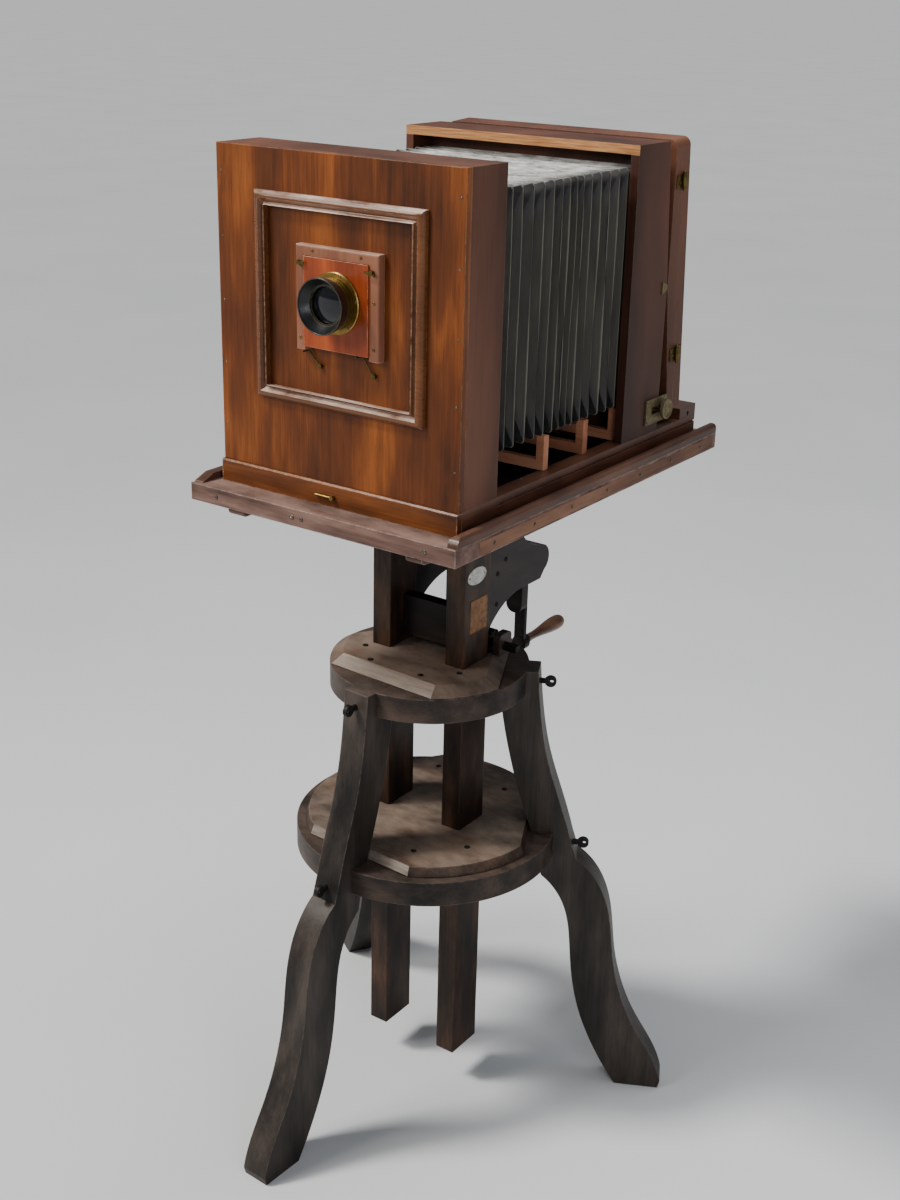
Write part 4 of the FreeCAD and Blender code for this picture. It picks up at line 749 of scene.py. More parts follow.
@dataclass
class Finishes:
    """Every finish of the object, built once and shared."""

    def __post_init__(self) -> None:
        """Builds each finish's material once, under a short name."""
        rear_low, rear_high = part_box("rear_box")
        lip = 0.0008
        wall = 0.0152
        stand = dict(dark="#181513", mid="#302a26", light="#473e38", worn="#7d7067",
                     roughness=0.46, line_mm=5.0, dent_mm=0.9, worn_mm=3.2, worn_amount=0.75,
                     dust="#6b5c52", dust_and_highlight_amount=0.6, cloud_mm=55, nicks=0.5)
        finishes: dict[str, Any] = {
            "leg": Wood("oak_leg_waxed", **stand),
            "disc": Wood("oak_disc_edge", **{**stand, "grain": Axis.X, "mid": "#342a25",
                                             "light": "#4d3f36"}),
            # The deck's scraped colour on its front-facing bevel is rubbed grey wood and a painted
            # highlight.
            "deck": Wood("oak_deck_walked_on", **{**stand, "grain": Axis.X, "mid": "#45362d",
                                                  "light": "#6a5444", "worn": "#9a8878",
                                                  "dust": "#8a7a6c", "dust_and_highlight_amount": 0.85,
                                                  "scraped_and_highlit": "#94897e"}),
            "post": Wood("oak_post_oiled", dark="#150e0b", mid="#2c1e16", light="#4a3324",
                         worn="#6a4c32", roughness=0.4, worn_mm=2.2, worn_amount=0.6,
                         line_mm=5.0, dent_mm=0.5, cloud_mm=30),
            "dark_post": Wood("oak_board_dark", dark="#100c0b", mid="#1f1815", light="#352a24",
                              grain=Axis.X, worn="#5d4a3c", dent_mm=0.4),
            "bracket": Wood("oak_bracket_dark", dark="#120e0d", mid="#231c19", light="#3a2f2a",
                            grain=Axis.Y, worn="#6a594e", roughness=0.38, dent_mm=0.4),
            "board": Wood("elm_platform_worn", dark="#3a2a25", mid="#664d44", light="#8d7165",
                          grain=Axis.X, worn="#c0a89c", worn_mm=3.4, worn_amount=0.85,
                          roughness=0.6, dent_mm=1.0, dust="#9a8074", dust_and_highlight_amount=0.7,
                          cloud_mm=45, nicks=0.8),
            "rail": Wood("elm_rail_oiled", dark="#271914", mid="#4a3126", light="#6d4b3b",
                         grain=Axis.Y, worn="#a07a64", worn_mm=3.0, roughness=0.42, coat=0.15,
                         nicks=0.6),
            "strip": Wood("inlaid_strip", dark="#4a2e20", mid="#75503c", light="#946b52",
                          grain=Axis.Y, worn="#b08a70", line_mm=5.0, roughness=0.5),
            "bed": Wood("mahogany_bed", dark="#2a1812", mid="#4a2c20", light="#684331",
                        grain=Axis.Y, worn="#8a6450", worn_mm=2.0, roughness=0.4, coat=0.2,
                        dust="#6d4f40", dust_and_highlight_amount=0.35),
            "bed_dark": Wood("bed_floor_stained", dark="#0c0807", mid="#170f0c", light="#2a1c16",
                             grain=Axis.Y, worn="#3a2a22", roughness=0.55),
            "panel": Wood("mahogany_french_polished", dark="#3a1d0b", mid="#5d2f12",
                          light="#8a4c1c", worn="#b98a60", worn_mm=2.4, roughness=0.34,
                          coat=0.06, line_mm=5.0, pore_mm=1.2, cloud_mm=95, dent_mm=0.12,
                          flame=0.18, nicks=0.25),
            "cleat": Wood("mahogany_cleat_polished", dark="#351b0a", mid="#5a3014",
                          light="#82481e", grain=Axis.X, worn="#e8bf9c", worn_mm=3.0,
                          worn_amount=1.0, roughness=0.32, coat=0.1, flame=0.15),
            # The moulding's near-white dust colour on its up-facing faces is a painted highlight.
            "moulding_x": Wood("mahogany_moulding_rubbed_painted_highlight", dark="#4a2812", mid="#62391c",
                               light="#7c4b28", grain=Axis.X, worn="#dcb494", worn_mm=1.6,
                               worn_amount=0.85, roughness=0.28, coat=0.35, dust="#f3dccb",
                               dust_and_highlight_amount=0.95, top_from=0.35, cloud_mm=200, dent_mm=0.06),
            "box": Wood("mahogany_box_side", dark="#3d2318", mid="#573628", light="#6c4533",
                        worn="#a58473", worn_mm=1.8, roughness=0.46, line_mm=5.0,
                        cloud_mm=150, dent_mm=0.1),
            "rear": Wood("mahogany_rear_side", dark="#341d15", mid="#4d2e22", light="#61392a",
                         worn="#93705f", worn_mm=1.6, roughness=0.46, line_mm=5.0,
                         cloud_mm=140, dent_mm=0.1, bare="#d09a66",
                         bare_box=(-9.0, float(rear_low[1]) + lip,
                                   float(rear_high[2]) - wall, 9.0)),
            "lens_board": Wood("mahogany_lens_board_red", dark="#6b2a10", mid="#8c3c19",
                               light="#a84f22", worn="#f0c4a0", worn_mm=1.4, worn_amount=1.0,
                               roughness=0.33, coat=0.3, cloud_mm=50, dent_mm=0.08),
            "lens_frame": Wood("cedar_holder_rubbed", dark="#6b4332", mid="#80533e",
                               light="#93654f", grain=Axis.Z, worn="#efcdb4", worn_mm=2.0,
                               worn_amount=0.9, roughness=0.4, dent_mm=0.08, cloud_mm=60,
                               dust="#f0d3be", dust_and_highlight_amount=0.6),
            "cedar": Wood("cedar_slat_bare", dark="#84533b", mid="#a86f52", light="#c08a6b",
                          grain=Axis.X, worn="#d3a284", roughness=0.6, line_mm=4.0),
            "grip": Wood("beech_grip_handled", dark="#332017", mid="#5a3b29", light="#7c5640",
                         grain=Axis.Y, worn="#8d6549", roughness=0.3, coat=0.35, line_mm=3.5,
                         cloud_mm=25, dent_mm=0.1),
            "iron": Metal("forged_iron", "#2d2a28", "#1a1614", film_mm=9, roughness=0.5,
                          metallic=0.8, grit_mm=1.6, grit_depth_mm=0.25, polish="#5f5a54"),
            "gear": Metal("cast_iron_oiled", "#262423", "#151210", film_mm=7, roughness=0.42,
                          metallic=0.85, grit_mm=1.1, grit_depth_mm=0.1, polish="#6d6862"),
            "steel": Metal("screw_steel_darkened", "#6a655e", "#2b241d", film_mm=3,
                           roughness=0.38, grit_mm=0.6, polish="#a39c90"),
            "brass": Metal("brass_old_lacquered", "#6f5f34", "#3b3017", film_mm=11,
                           roughness=0.38, polish="#a78d4c"),
            "brass_bright": Metal("brass_polished", "#a8894a", "#5f4a20", film_mm=16,
                                  film_amount=0.6, roughness=0.24, polish="#dcc080"),
            "brass_plate": Metal("brass_plate_dull", "#877a5c", "#50452f", film_mm=7,
                                 roughness=0.46, polish="#b0a27c", metallic=0.9),
            "lacquer": Lacquer(),
            "cloth": BellowsCloth(),
            # Painted shade: the lens glass is tinted near black in place of the dark inside of the
            # camera seen through it.
            "lens": Glass("lens_crown_glass", "#0a0b12", 0.03, 0.25),
            "screen": Glass("screen_ground_glass", "#c9cfce", 0.5, 0.75),
            "enamel": Sheet("plate_enamel_white", "#c9c9c4", "#8e8b80", 0.3),
            "paper": Sheet("label_paper_varnished", "#8a5a2c", "#4d3018", 0.45),
        }
        self.made = {key: finish.build() for key, finish in finishes.items()}
        LOG.info("%d finishes", len(self.made))

    def __getitem__(self, key: str) -> bpy.types.Material:
        """The material of that name."""
        return self.made[key]

    def on_nodes(self, finish_of: dict[str, str]) -> None:
        """Puts finishes on CAD nodes that are kept as they are."""
        for node, key in finish_of.items():
            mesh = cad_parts[node].data
            mesh.materials.clear()
            mesh.materials.append(self.made[key])


# ---------------------------------------------------------------- sub-assemblies

@dataclass
class Stand:
    """Legs, discs and decks, and the iron that holds them."""

    finishes: Finishes
    nail_mm: float = 5.0

    def build(self) -> None:
        """Dresses the stand and adds the heads of its nails and screws."""
        self.finishes.on_nodes({
            "leg_front": "leg", "leg_right": "leg", "leg_left": "leg", "upper_disc": "disc",
            "lower_disc": "disc", "upper_deck": "deck", "lower_deck": "deck",
            "leg_bolts": "iron", "lift_bearings": "bracket", "lift_shaft": "iron",
            "lift_pinions": "gear"})
        for deck, radius, seed in (("upper_deck", 0.112, 3), ("lower_deck", 0.158, 5)):
            top = float(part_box(deck)[1][2])
            heads = [Screw((MID_X + radius * math.cos(a), MID_Y + radius * math.sin(a), top),
                           (0, 0, 1), self.nail_mm)
                     for a in np.radians([-150.0, -118.0, -62.0, -28.0, 62.0, 118.0, 152.0])]
            piece = screw_group(deck + "_screws", heads, seed)
            dress(piece, self.finishes["iron"], "stand", "forged_iron")


@dataclass
class Column:
    """Posts, boards and brackets, with the plate and label on the right-hand post."""

    finishes: Finishes
    plate_half_y: float = 0.0268
    plate_half_z: float = 0.0150

    def build(self) -> None:
        """Dresses the column and adds its plate, label and screws."""
        self.finishes.on_nodes({
            "posts": "post", "lift_racks": "gear", "cross_board": "dark_post",
            "brackets": "bracket", "tilt_hinge_pin": "iron", "screw_board": "dark_post",
            "screw_hanger": "dark_post", "tilt_screw": "iron", "tilt_nut": "brass",
            "crank_arm": "iron", "crank_spindle": "iron", "crank_grip": "grip"})
        face_x = float(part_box("posts")[1][0])
        self.plate(face_x)
        self.label(face_x)
        self.screws(face_x)

    def plate(self, face_x: float) -> None:
        """A blank oval plate; its rim is a quarter round and its face slightly crowned."""
        centre_y, centre_z = -0.0351, 1.0008
        turn = np.linspace(0, 2 * np.pi, 56, endpoint=False)
        share = np.array([1.0, 1.0, 0.985, 0.94, 0.88, 0.82, 0.4])
        rise = np.array([-0.2, 0.6, 1.0, 1.15, 1.0, 0.85, 1.1]) * MM
        ring, angle = np.meshgrid(share, turn, indexing="ij")
        points = np.stack([face_x + np.repeat(rise[:, None], len(turn), 1),
                           centre_y + self.plate_half_y * ring * np.cos(angle),
                           centre_z + self.plate_half_z * ring * np.sin(angle)], -1)
        faces = [tuple(f) for f in
                 grid_faces(len(share), len(turn), close_columns=True).tolist()]
        last = (len(share) - 1) * len(turn)
        faces.append(tuple(range(last, last + len(turn))))
        faces.append(tuple(range(len(turn)))[::-1])
        piece = mesh_piece("oval_plate", points.reshape(-1, 3), faces)
        face_out(piece)
        dress(piece, self.finishes["enamel"], "column", "brass")
        pins = [Screw((face_x + 0.001, centre_y + s * 0.0215, centre_z), (1, 0, 0), 1.6)
                for s in (-1, 1)]
        dress(screw_group("oval_plate_pins", pins, 11), self.finishes["brass"], "column", "brass")

    def label(self, face_x: float) -> None:
        """A blank gummed label on the post's right face, with a curled and torn edge."""
        rows, columns = 26, 14
        v, u = np.meshgrid(np.linspace(0, 1, rows), np.linspace(0, 1, columns), indexing="ij")
        ragged = 0.0006 * np.sin(31 * v + 1.7) * (np.abs(u - 0.5) > 0.46)
        y = MID_Y - 0.020 + 0.0505 * u + ragged
        z = 0.8985 + 0.0605 * v + 0.0005 * np.sin(23 * u) * (np.abs(v - 0.5) > 0.47)
        x = face_x + 0.00025 + 0.0005 * np.clip(np.abs(2 * u - 1) - 0.85, 0, 1) * 6 * v
        front = np.stack([x, y, z], -1).reshape(-1, 3)
        back = front - [0.00035, 0, 0]
        count = rows * columns
        quads = grid_faces(rows, columns).tolist()
        faces = [tuple(f) for f in quads] + [tuple(count + k for k in f[::-1]) for f in quads]
        rim = ([(0, j) for j in range(columns)] + [(i, columns - 1) for i in range(1, rows)]
               + [(rows - 1, j) for j in range(columns - 2, -1, -1)]
               + [(i, 0) for i in range(rows - 2, 0, -1)])
        loop = [i * columns + j for i, j in rim]
        faces += [(a, count + a, count + b, b) for a, b in zip(loop, loop[1:] + loop[:1])]
        piece = mesh_piece("post_label", np.vstack([front, back]), faces)
        face_out(piece)
        dress(piece, self.finishes["paper"], "column", "stand_oak")

    def screws(self, face_x: float) -> None:
        """Screw heads where the cross board and brackets meet the posts."""
        heads = [Screw((face_x, MID_Y + y * MM, z * MM), (1, 0, 0), 4.2)
                 for y, z in ((60, 985), (84, 1005), (60, 930))]
        heads += [Screw((-0.022 - face_x, h.place[1], h.place[2]), (-1, 0, 0), 4.2)
                  for h in heads]
        dress(screw_group("bracket_screws", heads, 13), self.finishes["iron"], "column",
              "forged_iron")


@dataclass
class Platform:
    """The tilting board, its rails, and the bed of the camera."""

    finishes: Finishes

    def build(self) -> None:
        """Dresses the platform and adds its inlaid strip and screws."""
        self.finishes.on_nodes({
            "platform_board": "board", "platform_battens": "board", "edge_rails": "rail",
            "tilt_bracket": "gear", "bed_rails": "bed", "bed_floor": "bed_dark",
            "focus_racks": "brass", "front_cleat": "cleat"})
        low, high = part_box("platform_board")
        self.inlay(low, high)
        self.metal(low, high)

    def inlay(self, low: np.ndarray, high: np.ndarray) -> None:
        """A lighter strip let into the right-hand edge, half a millimetre proud."""
        strip = rounded_slab("edge_inlay", (high[0] - 0.001, low[1] + 0.062, high[2] - 0.0245),
                             (high[0] + 0.0005, high[1] - 0.012, high[2] - 0.0045), 0.0012,
                             Axis.X, 1, 0.0)
        dress(strip, self.finishes["strip"], "platform", "platform_elm")
        heads = [Screw((float(high[0]) + 0.0005, float(y), float(high[2]) - 0.0145),
                       (1, 0, 0), 3.0) for y in np.linspace(low[1] + 0.10, high[1] - 0.06, 7)]
        dress(screw_group("edge_inlay_screws", heads, 17), self.finishes["steel"], "platform",
              "forged_iron")

    def metal(self, low: np.ndarray, high: np.ndarray) -> None:
        """Countersunk screws in the front edge and along the tops of the rails."""
        front = [Screw((x, float(low[1]), float(high[2]) - 0.014), (0, -1, 0), 3.4)
                 for x in (-0.215, -0.058, -0.040, 0.192)]
        rail_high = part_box("bed_rails")[1]
        heads = [Screw((s * 0.205 + MID_X, float(y), float(rail_high[2])), (0, 0, 1), 2.4)
                 for s in (-1, 1) for y in (-0.15, -0.085, -0.02)]
        dress(screw_group("platform_edge_screws", front, 19), self.finishes["steel"],
              "platform", "forged_iron")
        dress(screw_group("bed_rail_screws", heads, 23), self.finishes["steel"], "platform",
              "forged_iron")


@dataclass
class FrontStandard:
    """The polished front, its moulding, the lens holder and the small catches."""

    finishes: Finishes

    def build(self) -> None:
        """Dresses the front and adds the moulding and screws."""
        self.finishes.on_nodes({
            "front_panel": "panel", "front_box": "box", "lens_frame": "lens_frame",
            "lens_board": "lens_board", "catch_upper_left": "brass",
            "catch_upper_right": "brass", "catch_lower_left": "brass",
            "catch_lower_right": "brass", "cleat_latch": "brass_bright"})
        self.moulding()
        self.screws()

    def moulding(self) -> None:
        """A mitred moulding: flat land, an ovolo falling outwards and a bead inside."""
        low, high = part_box("panel_moulding")
        width, rise = 0.020, float(high[1] - low[1])
        arc = np.linspace(0, np.pi / 2, 9)
        ovolo = np.stack([0.5 * width * np.sin(arc), rise * (0.35 + 0.65 * np.cos(arc))], -1)
        bead = np.stack([-0.5 * width + 0.004 * (1 - np.sin(arc[::-1])),
                         rise * 0.45 + 0.55 * rise * (1 - np.cos(arc[::-1]))], -1)[::-1]
        profile = np.vstack([[(0.5 * width, 0.0)], [(-0.5 * width, 0.0)],
                             bead[::-1], ovolo])
        profile = profile[np.r_[True, np.abs(np.diff(profile, axis=0)).sum(1) > 1e-6]]
        centre = ((low[0] + high[0]) / 2, float(high[1]), (low[2] + high[2]) / 2)
        piece = swept_frame("panel_moulding_mitred", profile,
                            (high[0] - low[0]) / 2 - width / 2,
                            (high[2] - low[2]) / 2 - width / 2, centre)
        dress(piece, self.finishes["moulding_x"], "platform", "mahogany", "panel_moulding")

    def screws(self) -> None:
        """Brass screws of the lens holder and iron pins along the panel's edges."""
        low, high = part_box("lens_frame")
        x_low, x_high = float(low[0]) + 0.0085, float(high[0]) - 0.0085
        front = float(low[1])
        heights = [float(low[2]) + 0.018, float(low[2]) + 0.085, float(low[2]) + 0.125]
        heads = [Screw((x, front, z), (0, -1, 0), 2.6) for x in (x_low, x_high) for z in heights]
        heads += [Screw((float(low[0] + high[0]) / 2 + s * 0.045, front, float(high[2]) - 0.007),
                        (0, -1, 0), 2.4) for s in (-1, 1)]
        dress(screw_group("lens_holder_screws", heads, 29), self.finishes["brass"], "platform",
              "brass")
        p_low, p_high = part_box("front_panel")
        pins = [Screw((float(x), float(p_low[1]), float(z)), (0, -1, 0), 1.7)
                for x in (p_low[0] + 0.009, p_high[0] - 0.009)
                for z in np.linspace(p_low[2] + 0.06, p_high[2] - 0.04, 5)]
        dress(screw_group("front_panel_pins", pins, 31), self.finishes["steel"], "platform",
              "forged_iron")


@dataclass
class Lens:
    """The turned and lacquered lens: flange, barrel with milled rings, hood and glasses."""

    finishes: Finishes

    def __post_init__(self) -> None:
        """Takes the lens's axis and front from the hood's box."""
        low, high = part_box("lens_hood")
        self.axis = (float(low[0] + high[0]) / 2, float(low[2] + high[2]) / 2)
        self.front = float(low[1])

    def at(self, y: float) -> tuple[float, float, float]:
        """A point of the lens's axis."""
        return (self.axis[0], y, self.axis[1])

    def build(self) -> None:
        """Makes the three turned pieces and gives the glasses their finish."""
        self.flange()
        self.barrel()
        self.hood()
        self.finishes.on_nodes({"lens_glasses": "lens"})

    def flange(self) -> None:
        """A bright flange with a chamfered edge and a raised collar, held by six screws."""
        low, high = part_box("lens_flange")
        deep = float(high[1] - low[1]) / MM
        profile = [(38.2, 0), (45.3, 0), (45.5, 0.6), (45.5, deep - 1.2), (44.3, deep),
                   (41.0, deep), (38.2, deep)]
        piece = lathe("lens_flange_turned", profile, self.at(float(high[1])), (0, -1, 0), 96)
        dress(piece, self.finishes["brass_bright"], "platform", "brass", "lens_flange")
        heads = [Screw((self.axis[0] + 0.0425 * math.cos(a), float(low[1]) + 0.0004,
                        self.axis[1] + 0.0425 * math.sin(a)), (0, -1, 0), 2.1)
                 for a in np.radians(np.arange(6) * 60.0 + 70.0)]
        dress(screw_group("lens_flange_screws", heads, 37), self.finishes["steel"], "platform",
              "brass")

    def barrel(self) -> None:
        """The mount tube: a milled ring, a groove, a smooth ring and a second milled ring."""
        low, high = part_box("lens_barrel")
        back, front = float(high[1]), float(low[1])
        long = (back - front) / MM
        rings = [(31.5, 0), (37.9, 0), (37.9, 0.30 * long), (38.0, 0.31 * long),
                 (38.0, 0.34 * long), (36.6, 0.36 * long), (36.6, 0.42 * long),
                 (37.8, 0.44 * long), (37.9, 0.62 * long), (36.8, 0.64 * long),
                 (36.8, 0.70 * long), (37.9, 0.72 * long), (37.9, 0.94 * long),
                 (37.0, long), (31.5, long)]

        def milling(index: np.ndarray, turn: np.ndarray) -> np.ndarray:
            """Fine ridges, 0.35 mm deep, on the outer land of the front ring."""
            on = (index == 11) | (index == 12)
            return np.where(on, -0.35 * (np.cos(90 * turn) > 0), 0.0)

        piece = lathe("lens_barrel_turned", rings, self.at(back), (0, -1, 0), 360, milling)
        dress(piece, self.finishes["brass"], "platform", "brass", "lens_barrel")

    def hood(self) -> None:
        """A flared black hood with a rolled rim and a stepped dark throat."""
        low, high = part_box("lens_hood")
        deep = float(high[1] - low[1]) / MM
        lip = np.linspace(0, np.pi, 7)
        rim = [(40.4 + 1.1 * math.cos(a), deep - 1.1 + 1.1 * math.sin(a)) for a in lip]
        profile = [(38.2, 0.0), (38.6, 1.2), (38.6, 3.4), (39.4, 4.4),
                   (41.2, deep - 3.2)] + rim + [(38.6, deep - 2.6), (30.0, 4.2), (29.4, 4.2),
                                                (29.4, 2.4), (27.4, 2.4), (27.4, 0.0)]
        piece = lathe("lens_hood_turned", profile, self.at(float(high[1])), (0, -1, 0), 128)
        dress(piece, self.finishes["lacquer"], "platform", "black_lacquer", "lens_hood")


@dataclass
class Bellows:
    """The pleated bellows and its three travelling slats."""

    finishes: Finishes
    folds: int = 17
    depth: float = 0.024
    chamfer: float = 0.046
    side_points: int = 26
    corner_points: int = 7

    def build(self) -> None:
        """Makes the pleated cloth and dresses the slats."""
        self.finishes.on_nodes({name: "cedar" for name in
                                ("support_front", "support_middle", "support_rear")})
        low, high = (np.asarray(c, float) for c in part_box("bellows"))
        piece = self.cloth(low, high)
        piece.data.materials.append(self.finishes["cloth"])
        solid = piece.modifiers.new("cloth thickness", "SOLIDIFY")
        solid.thickness = 0.9 * MM
        solid.offset = -1.0
        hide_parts("bellows")
        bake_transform(piece)
        LOG.info("piece %s with %d folds", piece.name, self.folds)

    def outline(self, half_x: float, half_z: float, cut: np.ndarray) -> tuple:
        """Points round a rectangle whose corners are cut by rows of cut, and what they are.

        Each side is a straight run between its two cut corners and each corner a straight cut,
        with the same number of points for every row, so that rows join one to one.

        Args:
            half_x: half width of each row, as a column.
            half_z: half height of each row, as a column.
            cut: how far each row's corners are cut, as a column.

        Returns:
            x and z of every point, and 1 at the corners, and the share of top.
        """
        share = np.linspace(0, 1, self.side_points, endpoint=False)
        turn = np.linspace(0, 1, self.corner_points, endpoint=False)
        x_parts, z_parts, corner, top = [], [], [], []
        tour = [((1, -1), (1, 1), 0.0), ((1, 1), (-1, 1), 1.0), ((-1, 1), (-1, -1), 0.0),
                ((-1, -1), (1, -1), 0.0)]
        for number, (a, b, on_top) in enumerate(tour):
            upright = a[0] == b[0]
            ax = a[0] * (half_x - (0 if upright else cut))
            az = a[1] * (half_z - (cut if upright else 0))
            bx = b[0] * (half_x - (0 if upright else cut))
            bz = b[1] * (half_z - (cut if upright else 0))
            x_parts.append(ax + (bx - ax) * share)
            z_parts.append(az + (bz - az) * share)
            fade = np.clip(1.3 - np.minimum(share, 1 - share) * (14 if upright else 13), 0, 1)
            corner.append(fade)
            top.append(np.full(len(share), on_top))
            after = tour[(number + 1) % 4]
            nx = after[0][0] * (half_x - (0 if after[0][0] == after[1][0] else cut))
            nz = after[0][1] * (half_z - (cut if after[0][0] == after[1][0] else 0))
            x_parts.append(bx + (nx - bx) * turn)
            z_parts.append(bz + (nz - bz) * turn)
            corner.append(np.ones(len(turn)))
            top.append(np.full(len(turn), 0.0))
        return (np.hstack(x_parts), np.hstack(z_parts), np.hstack(corner), np.hstack(top))

    def cloth(self, low: np.ndarray, high: np.ndarray) -> bpy.types.Object:
        """The pleats: a zigzag in depth along Y, spaced widest at the quarters of its length.

        A row's fold value f goes 1 at a ridge and 0 at a valley. The half sizes shrink by
        depth * (1 - f) and the corners are cut by chamfer * (1 - f). Small seeded offsets make
        each pleat lean, and the top sags between the ends.

        Args:
            low: the CAD sleeve's lowest corner.
            high: the CAD sleeve's highest corner.

        Returns:
            The cloth, one layer, with its UV map and values.
        """
        random = np.random.default_rng(1880)
        step = np.array([0.0, 0.05, 0.25, 0.45, 0.5, 0.55, 0.75, 0.95])
        value = np.array([1.0, 0.97, 0.56, 0.12, 0.0, 0.12, 0.56, 0.97])
        phase = (np.arange(self.folds)[:, None] + step).ravel()
        fold = np.append(np.tile(value, self.folds), 1.0)
        phase = np.append(phase, self.folds)
        share = phase / self.folds
        lean = random.normal(0, 0.06, self.folds + 2)
        wander = np.interp(phase, np.arange(self.folds + 2) - 0.25, lean)
        ends = np.sin(np.pi * share)
        along = share - 0.035 * np.sin(4 * np.pi * (share - 0.5)) / 2 + wander * ends / self.folds
        y = low[1] + 0.002 + (high[1] - low[1] - 0.004) * along
        scale = random.normal(1.0, 0.05, self.folds + 1)[np.clip(phase.astype(int), 0,
                                                                self.folds)]
        depth = self.depth * (1 - fold) * scale
        half_x = (high[0] - low[0]) / 2 - 0.001 - depth
        half_z = (high[2] - low[2]) / 2 - 0.001 - depth
        cut = 0.0035 + self.chamfer * (1 - fold) * scale
        x, z, corner, top = self.outline(half_x[:, None], half_z[:, None], cut[:, None])
        mid_x, mid_z = (low[0] + high[0]) / 2, (low[2] + high[2]) / 2
        rows, columns = x.shape
        sag = 0.007 * ends[:, None] * np.clip(z / z.max(), 0, 1) * (1 - (x / x.max()) ** 2)
        skew = random.normal(0, 0.0016, (rows // 8 + 2, 1))[np.arange(rows) // 8]
        bow = 0.0022 * np.sin(np.pi * z / z.max() * 0.5 + 0.4) * ends[:, None]
        y_all = y[:, None] + (skew * np.sin(np.pi * z / z.max()) + bow * 0.6) * ends[:, None]
        points = np.stack([x + mid_x, y_all, z + mid_z - sag], -1)
        faces = grid_faces(rows, columns, close_columns=True)[:, ::-1]
        piece = mesh_piece("pleated_bellows", points.reshape(-1, 3), faces.tolist(), smooth=False)
        self.outwards(piece, np.array([mid_x, 0.0, mid_z]))
        self.values(piece, "fold", np.repeat(fold, columns))
        self.values(piece, "corner", np.tile(corner, rows))
        self.values(piece, "top", np.tile(top, rows))
        self.cloth_map(piece, rows, columns, np.hstack([[0], np.cumsum(np.diff(y))]))
        return piece

    @staticmethod
    def outwards(piece: bpy.types.Object, middle: np.ndarray) -> None:
        """Flips the open tube if its faces look at its axis."""
        normals = np.zeros(len(piece.data.polygons) * 3)
        centres = np.zeros(len(piece.data.polygons) * 3)
        piece.data.polygons.foreach_get("normal", normals)
        piece.data.polygons.foreach_get("center", centres)
        away = (centres.reshape(-1, 3) - middle) * [1, 0, 1]
        if (normals.reshape(-1, 3) * away).sum() < 0:
            piece.data.flip_normals()

    @staticmethod
    def values(piece: bpy.types.Object, name: str, numbers: np.ndarray) -> None:
        """Stores one number per point under a name."""
        layer = piece.data.attributes.new(name, "FLOAT", "POINT")
        layer.data.foreach_set("value", numbers.astype(np.float32))

    @staticmethod
    def cloth_map(piece: bpy.types.Object, rows: int, columns: int, along: np.ndarray) -> None:
        """A UV map in metres: round the bellows, and along the cloth's own length."""
        around = np.linspace(0, 1.6, columns)
        uv_points = np.stack(np.meshgrid(around, along * 2.2, indexing="xy"), -1).reshape(-1, 2)
        layer = piece.data.uv_layers.new(name="cloth")
        corners = np.zeros(len(piece.data.loops), np.int64)
        piece.data.loops.foreach_get("vertex_index", corners)
        layer.data.foreach_set("uv", uv_points[corners].ravel().astype(np.float32))


